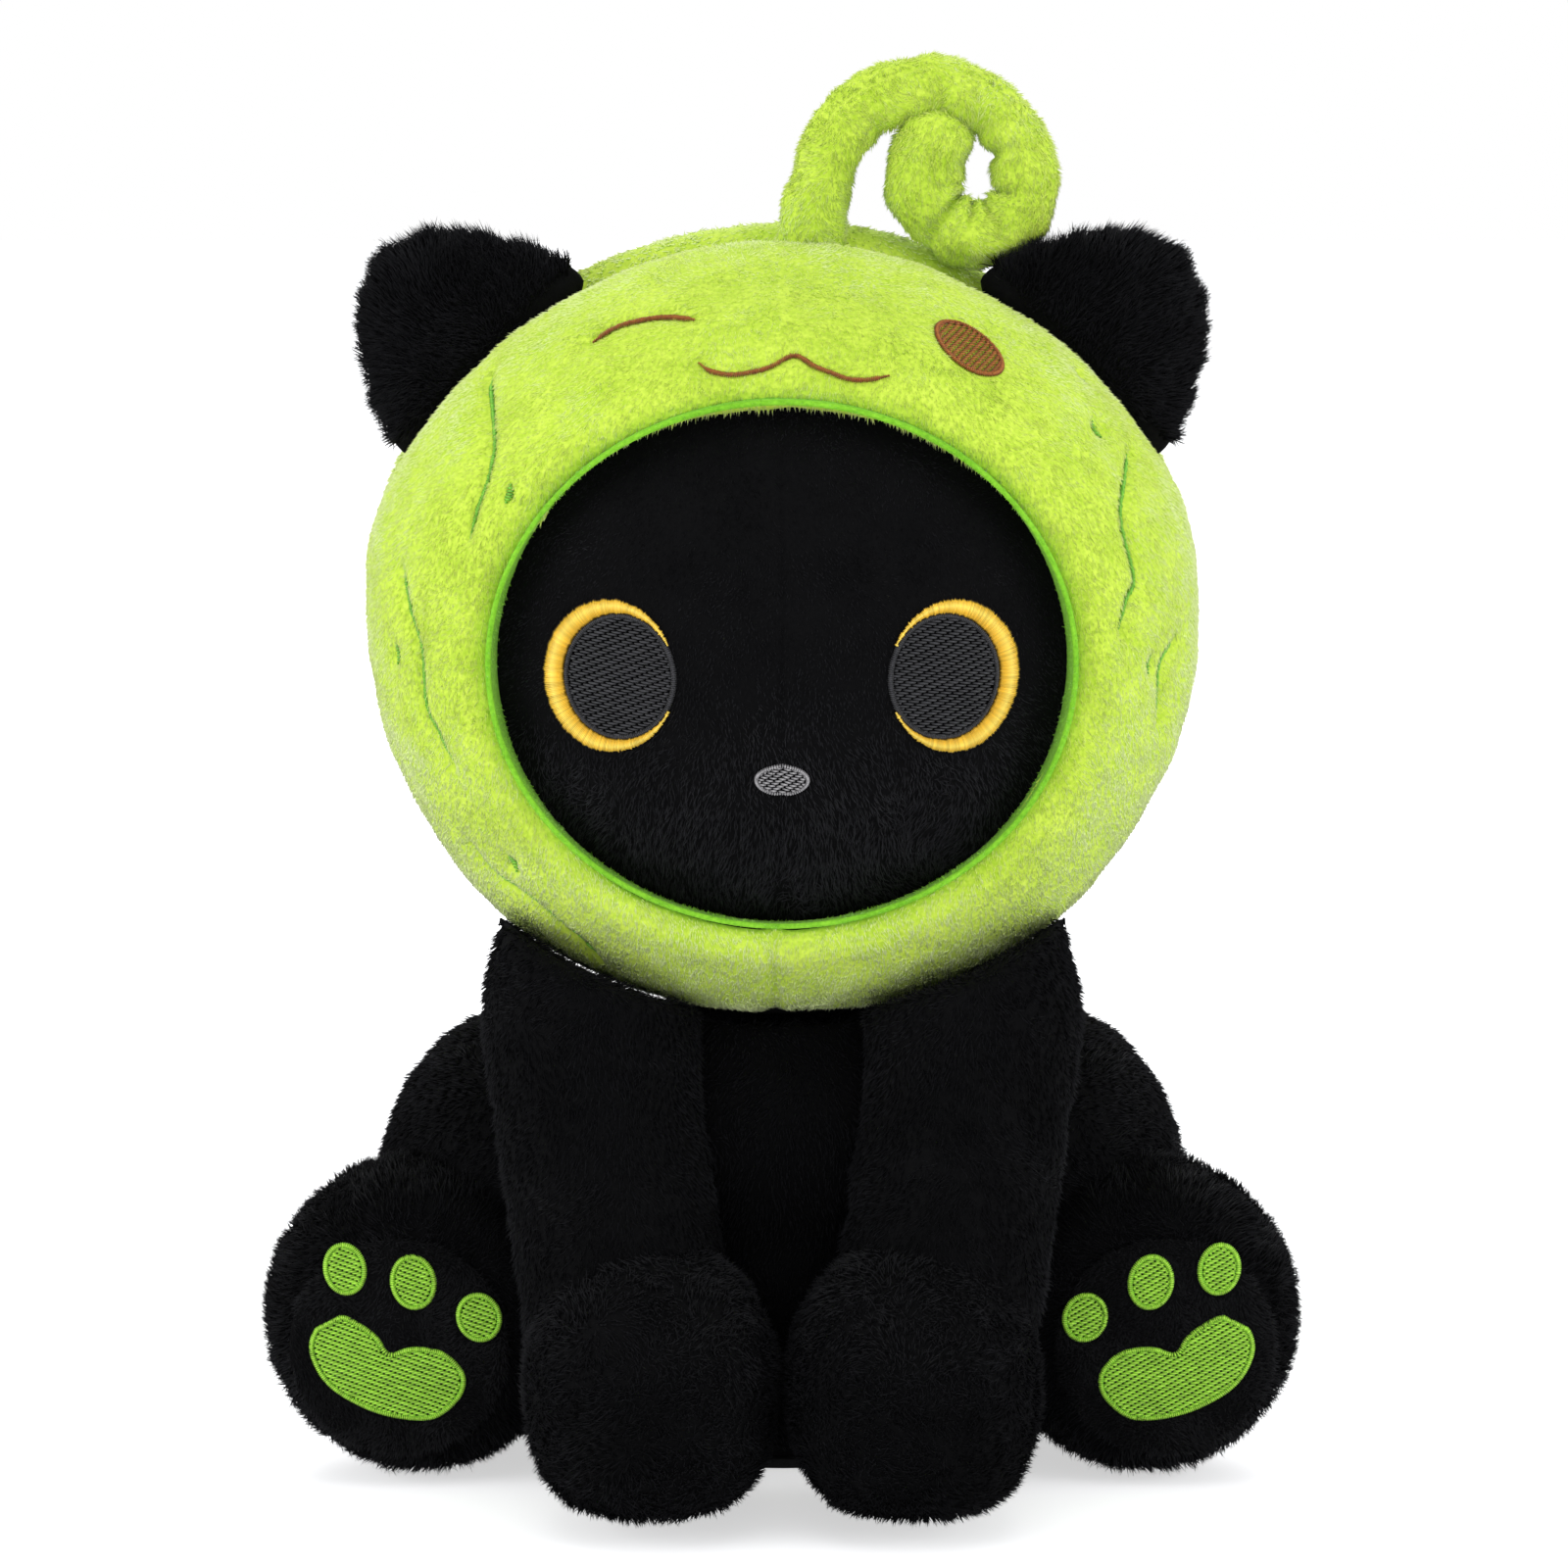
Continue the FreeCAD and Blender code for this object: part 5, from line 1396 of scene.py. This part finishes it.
# ---------------------------------------------------------------- haunches and hind feet
# Each hind leg is a round haunch sewn flat to the hip and a stubby foot whose
# flat sole faces forwards, ringed by longer fur.
HIP = np.array([58, 2, 48.5]) * MM
HAUNCH_HALF = np.array([31.5, 40.0, 47.0]) * MM
HIP_FACE = 44.4 * MM     # the haunch is flat where it is sewn to the trunk
FOOT_MIDDLE = np.array([77.8, -25, 34.6]) * MM
FOOT_HALF = np.array([33.2, 28.5, 33.8]) * MM
SOLE_MIDDLE, SOLE_CLEAR = np.array([81.5, 31]) * MM, 20.5 * MM
for side, sign in SIDES:
    hip, foot_middle = HIP * [sign, 1, 1], FOOT_MIDDLE * [sign, 1, 1]
    haunch = ball(f"haunch_skin_{side}", hip, HAUNCH_HALF, 40, 28)
    swell_up(haunch, 4.0, 1.2 * MM)
    points = points_of(haunch)
    points[:, 0] = sign * np.maximum(sign * points[:, 0], HIP_FACE)
    place_points(haunch, points)

    def haunch_comb(points):
        level = np.ones(len(points))
        return np.stack([0.5 * sign * level, 0.2 + 0.3 * (points[:, 1] - hip[1]) / 40 / MM,
                         -0.8 * level], 1)

    plush(haunch, BLACK_PLUSH, "black_plush", f"haunch_pile_{side}", body=f"hind_leg_{side}",
          fill=0.8, stands_for=(f"haunch_cover_{side}", f"haunch_filling_{side}"), floor=0.6 * MM,
          count=16500, length=2.8 * MM, width=0.50 * MM, lean=56, comb=haunch_comb,
          seed=191 + sign,
          where=lambda p: (np.abs(p[:, 0]) > HIP_FACE + 0.6 * MM) * (p[:, 2] > 4.0 * MM))

    foot = ball(f"hind_foot_skin_{side}", foot_middle, FOOT_HALF, 44, 28)
    swell_up(foot, 4.0, 1.0 * MM)
    points = points_of(foot)
    flat = corners(f"hind_foot_cover_{side}")[0][1] + 0.2 * MM
    front_part = points[:, 1] < flat + 3 * MM
    points[front_part, 1] = flat + 3 * MM * np.exp((points[front_part, 1] - flat - 3 * MM) / 3 / MM)
    points[:, 2] = np.maximum(points[:, 2], 1.2 * MM)
    place_points(foot, points)

    def foot_comb(points):
        away = points - foot_middle
        return np.stack([away[:, 0] / 27 / MM, -0.25 * np.ones(len(points)),
                         0.05 + away[:, 2] / 30 / MM], 1)

    def rim_fur(points):
        ring = np.hypot(points[:, 0] - foot_middle[0], points[:, 2] - foot_middle[2])
        return 1 + 0.25 * (points[:, 1] < flat + 8 * MM) * (ring > 18 * MM)

    def foot_shown(points):
        """Everywhere off the table but under the sole."""
        ring = np.hypot(points[:, 0] - sign * SOLE_MIDDLE[0], points[:, 2] - SOLE_MIDDLE[1])
        return (points[:, 2] > 1.4 * MM) * ((points[:, 1] > flat + 0.8 * MM) + (ring > SOLE_CLEAR) > 0)

    plush(foot, BLACK_PLUSH, "black_plush", f"hind_foot_pile_{side}", body=f"hind_leg_{side}",
          fill=0.8, stands_for=(f"hind_foot_cover_{side}", f"hind_foot_filling_{side}"),
          floor=0.3 * MM, count=18500, length=3.0 * MM, width=0.45 * MM, lean=50, comb=foot_comb,
          seed=301 + sign, long=rim_fur, where=foot_shown)

# ---------------------------------------------------------------- soles and embroidered pads
# A round of shorter black plush closes the front of each hind foot. One bean-shaped
# main pad and three oval toe pads are filled and edged with bright green thread.
MAIN_PAD = [(12.5, 7), (8.5, 5.5), (4.5, 2.5), (2.0, -1), (-2, 0), (-6, 0), (-10.5, -1.5), (-14, -6),
            (-13, -11), (-7.5, -15.5), (0, -15.5), (8, -13), (15.5, -8), (19, -1), (17.5, 4.5)]
TOE_PADS = [((11.3, 17.0), (4.6, 5.7), 10), ((-3.2, 14.2), (4.9, 6.0), 10), ((-17.1, 6.5), (4.8, 5.4), 20)]
PAD_EDGE = 1.15 * MM
green_thread = thread_material("bright_green_rayon_thread", "#74B41C", "#8ECC2C", "#ACDE48")
sole_pile = velour_pile_material("sole_black_plush_pile", "#040405", "#0A0A0B", "#1A1A1C", 0.08,
                                 "#A4A6AE", 0.7, gloss=0.08)


def closed_line(marks, steps=30):
    """Smooth closed outline through marks, its points even along its length."""
    marks = list(marks)
    line = smooth_line(marks[-2:] + marks + marks[:2], steps)
    line = line[2 * steps:-2 * steps + 1]
    run = run_of(line)
    return at_run(line, run, np.linspace(0, run[-1], 400, endpoint=False))


def inside_line(flat, line, inset):
    """Whether places lie inside a closed outline and further than the inset from it."""
    after = np.roll(line, -1, 0)
    x, y = flat[:, None, 0], flat[:, None, 1]
    crosses = (line[:, 1] > y) != (after[:, 1] > y)
    rise = after[:, 1] - line[:, 1]
    at = line[:, 0] + (y - line[:, 1]) * (after[:, 0] - line[:, 0]) / np.where(rise == 0, 1e-12, rise)
    odd = np.sum(crosses & (x < at), axis=1) % 2 == 1
    return odd & (np.linalg.norm(flat[:, None] - line, axis=2).min(1) > inset)


for side, sign in SIDES:
    sole_low, sole_high = corners(f"sole_panel_{side}")
    sole_middle = (sole_low + sole_high) / 2
    sole_radius = (sole_high[0] - sole_low[0]) / 2 + 0.8 * MM
    sole = ball(f"sole_skin_{side}", sole_middle, (1, 1, 1), 96, 40, pole="Y")
    p = points_of(sole) - sole_middle
    out = np.hypot(p[:, 0], p[:, 2])
    fall = np.sqrt(np.clip(1 - out ** 6, 0, 1))
    p[:, 1] = np.sign(p[:, 1]) * fall * (0.7 * MM + 0.5 * MM * (1 - out ** 2) * (p[:, 1] < 0))
    p[:, [0, 2]] *= sole_radius
    place_points(sole, p + sole_middle)
    shade_smooth(sole)
    surface = surface_of(sole)
    finish_piece(sole, black_ground, body=f"hind_leg_{side}",
                 stands_for=(f"sole_panel_{side}",))

    def on_sole(flat, over):
        """Points of the gently domed sole, or a height over it, from places in its own plane."""
        out = np.linalg.norm(flat, axis=1) / sole_radius
        y = sole_middle[1] - 0.7 * MM - 0.5 * MM * (1 - np.minimum(out, 1) ** 2) - over
        return np.stack([sole_middle[0] + sign * flat[:, 0], y, sole_middle[2] + flat[:, 1]], 1)

    toes = []
    for middle, half, tilt in TOE_PADS:
        turn = np.radians(np.arange(0, 360, 2.0))
        lean = math.radians(-tilt)
        oval = np.stack([half[0] * np.cos(turn), half[1] * np.sin(turn)], 1)
        spin = np.array([[math.cos(lean), -math.sin(lean)], [math.sin(lean), math.cos(lean)]])
        toes.append((oval @ spin.T + middle) * MM)
    outlines = [closed_line(MAIN_PAD) * MM, *toes]
    pads = []
    for number, line in enumerate(outlines):
        seed = 400 + 20 * sign + number
        centre = line.mean(0)
        shifted = line - centre
        far = np.abs(shifted).max(0)
        starts, ends = fill_rows(far[0], far[1], 0.42 * MM, 2.4 * MM, seed,
                                 lambda p: inside_line(p, shifted, 0.8 * MM), tilt=sign * 5)
        forward = np.array([0.0, -1.0, 0.0])
        fill = stitches(f"pad_fill_{number}", on_sole(starts + centre, 0.3 * MM),
                        on_sole(ends + centre, 0.3 * MM),
                        np.broadcast_to(forward, (len(starts), 3)), 0.52 * MM, 0.35 * MM, seed)
        loop = np.concatenate([line, line[:1]])
        run = run_of(loop)
        edge = at_run(loop, run, np.arange(0, run[-1], 0.46 * MM))
        way = np.roll(edge, -1, 0) - np.roll(edge, 1, 0)
        away = unit(np.stack([way[:, 1], -way[:, 0]], 1))
        if np.sum(away * (edge - centre)) < 0:
            away = -away
        border = stitches(f"pad_edge_{number}", on_sole(edge - away * PAD_EDGE, 0.45 * MM),
                          on_sole(edge + away * 0.15 * MM, 0.2 * MM),
                          np.broadcast_to(forward, (len(edge), 3)), 0.46 * MM, 0.5 * MM, seed + 7)
        pads.append(merged(f"pad_{number}", [fill, border]))
    finish_piece(merged(f"sole_main_pad_embroidery_{side}", pads[:1]), green_thread,
                 body=f"hind_leg_{side}", stands_for=(f"sole_main_pad_{side}",))
    finish_piece(merged(f"sole_toe_pad_embroidery_{side}", pads[1:]), green_thread,
                 body=f"hind_leg_{side}", stands_for=(f"sole_toe_pads_{side}",))

    def bare_sole(points):
        flat = (points[:, [0, 2]] - sole_middle[[0, 2]]) * [sign, 1]
        free = points[:, 1] < sole_middle[1]
        for line in outlines:
            free = free & ~inside_line(flat, line, -0.2 * MM)
        return free * 1.0

    pile = grow_pile(f"sole_pile_{side}", surface, count=6000, length=2.0 * MM, width=0.40 * MM,
                     lean=62, seed=421 + sign, where=bare_sole, wander=0.9,
                     comb=lambda p: (p - sole_middle) * [0.5, 0, 0.3] / 20 / MM + [0, 0, -0.35])
    finish_piece(pile, sole_pile, body=f"hind_leg_{side}")

# ---------------------------------------------------------------- tail
# A short stuffed tube of the same black plush, sewn low on the back, that
# rises in a soft S behind the trunk.
TAIL_RADIUS = 6.6 * MM
TAIL_ARCS = [(22, -72), (60, 45)]
tail_root = np.array([0.0, 40.8, 30.0]) * MM
tail_line, tail_ways = arc_points(tail_root, 5, TAIL_ARCS, np.array([0, 1.0, 0]),
                                  np.array([0, 0, 1.0]), 1.0 * MM)
tail, rings, middle, run = stuffed_tube("tail_skin", tail_line, tail_ways, TAIL_RADIUS, 7 * MM)
swell = 1 + 0.05 * ring_ripple(rings, 18 * MM, 51)
close_tube(tail, middle + (rings - middle) * swell[:, :, None])
plush(tail, BLACK_PLUSH, "black_plush", "tail_pile", fill=0.8,
      bend=("torso", "tail", tuple(tail_root + [0, 3 * MM, 0]),
            tuple(tail_root + [0, 15 * MM, 4 * MM])),
      stands_for=("tail_cover", "tail_filling"), count=8000, length=3.2 * MM, width=0.45 * MM,
      lean=56, comb=[0, 0.2, 1.0], seed=431)
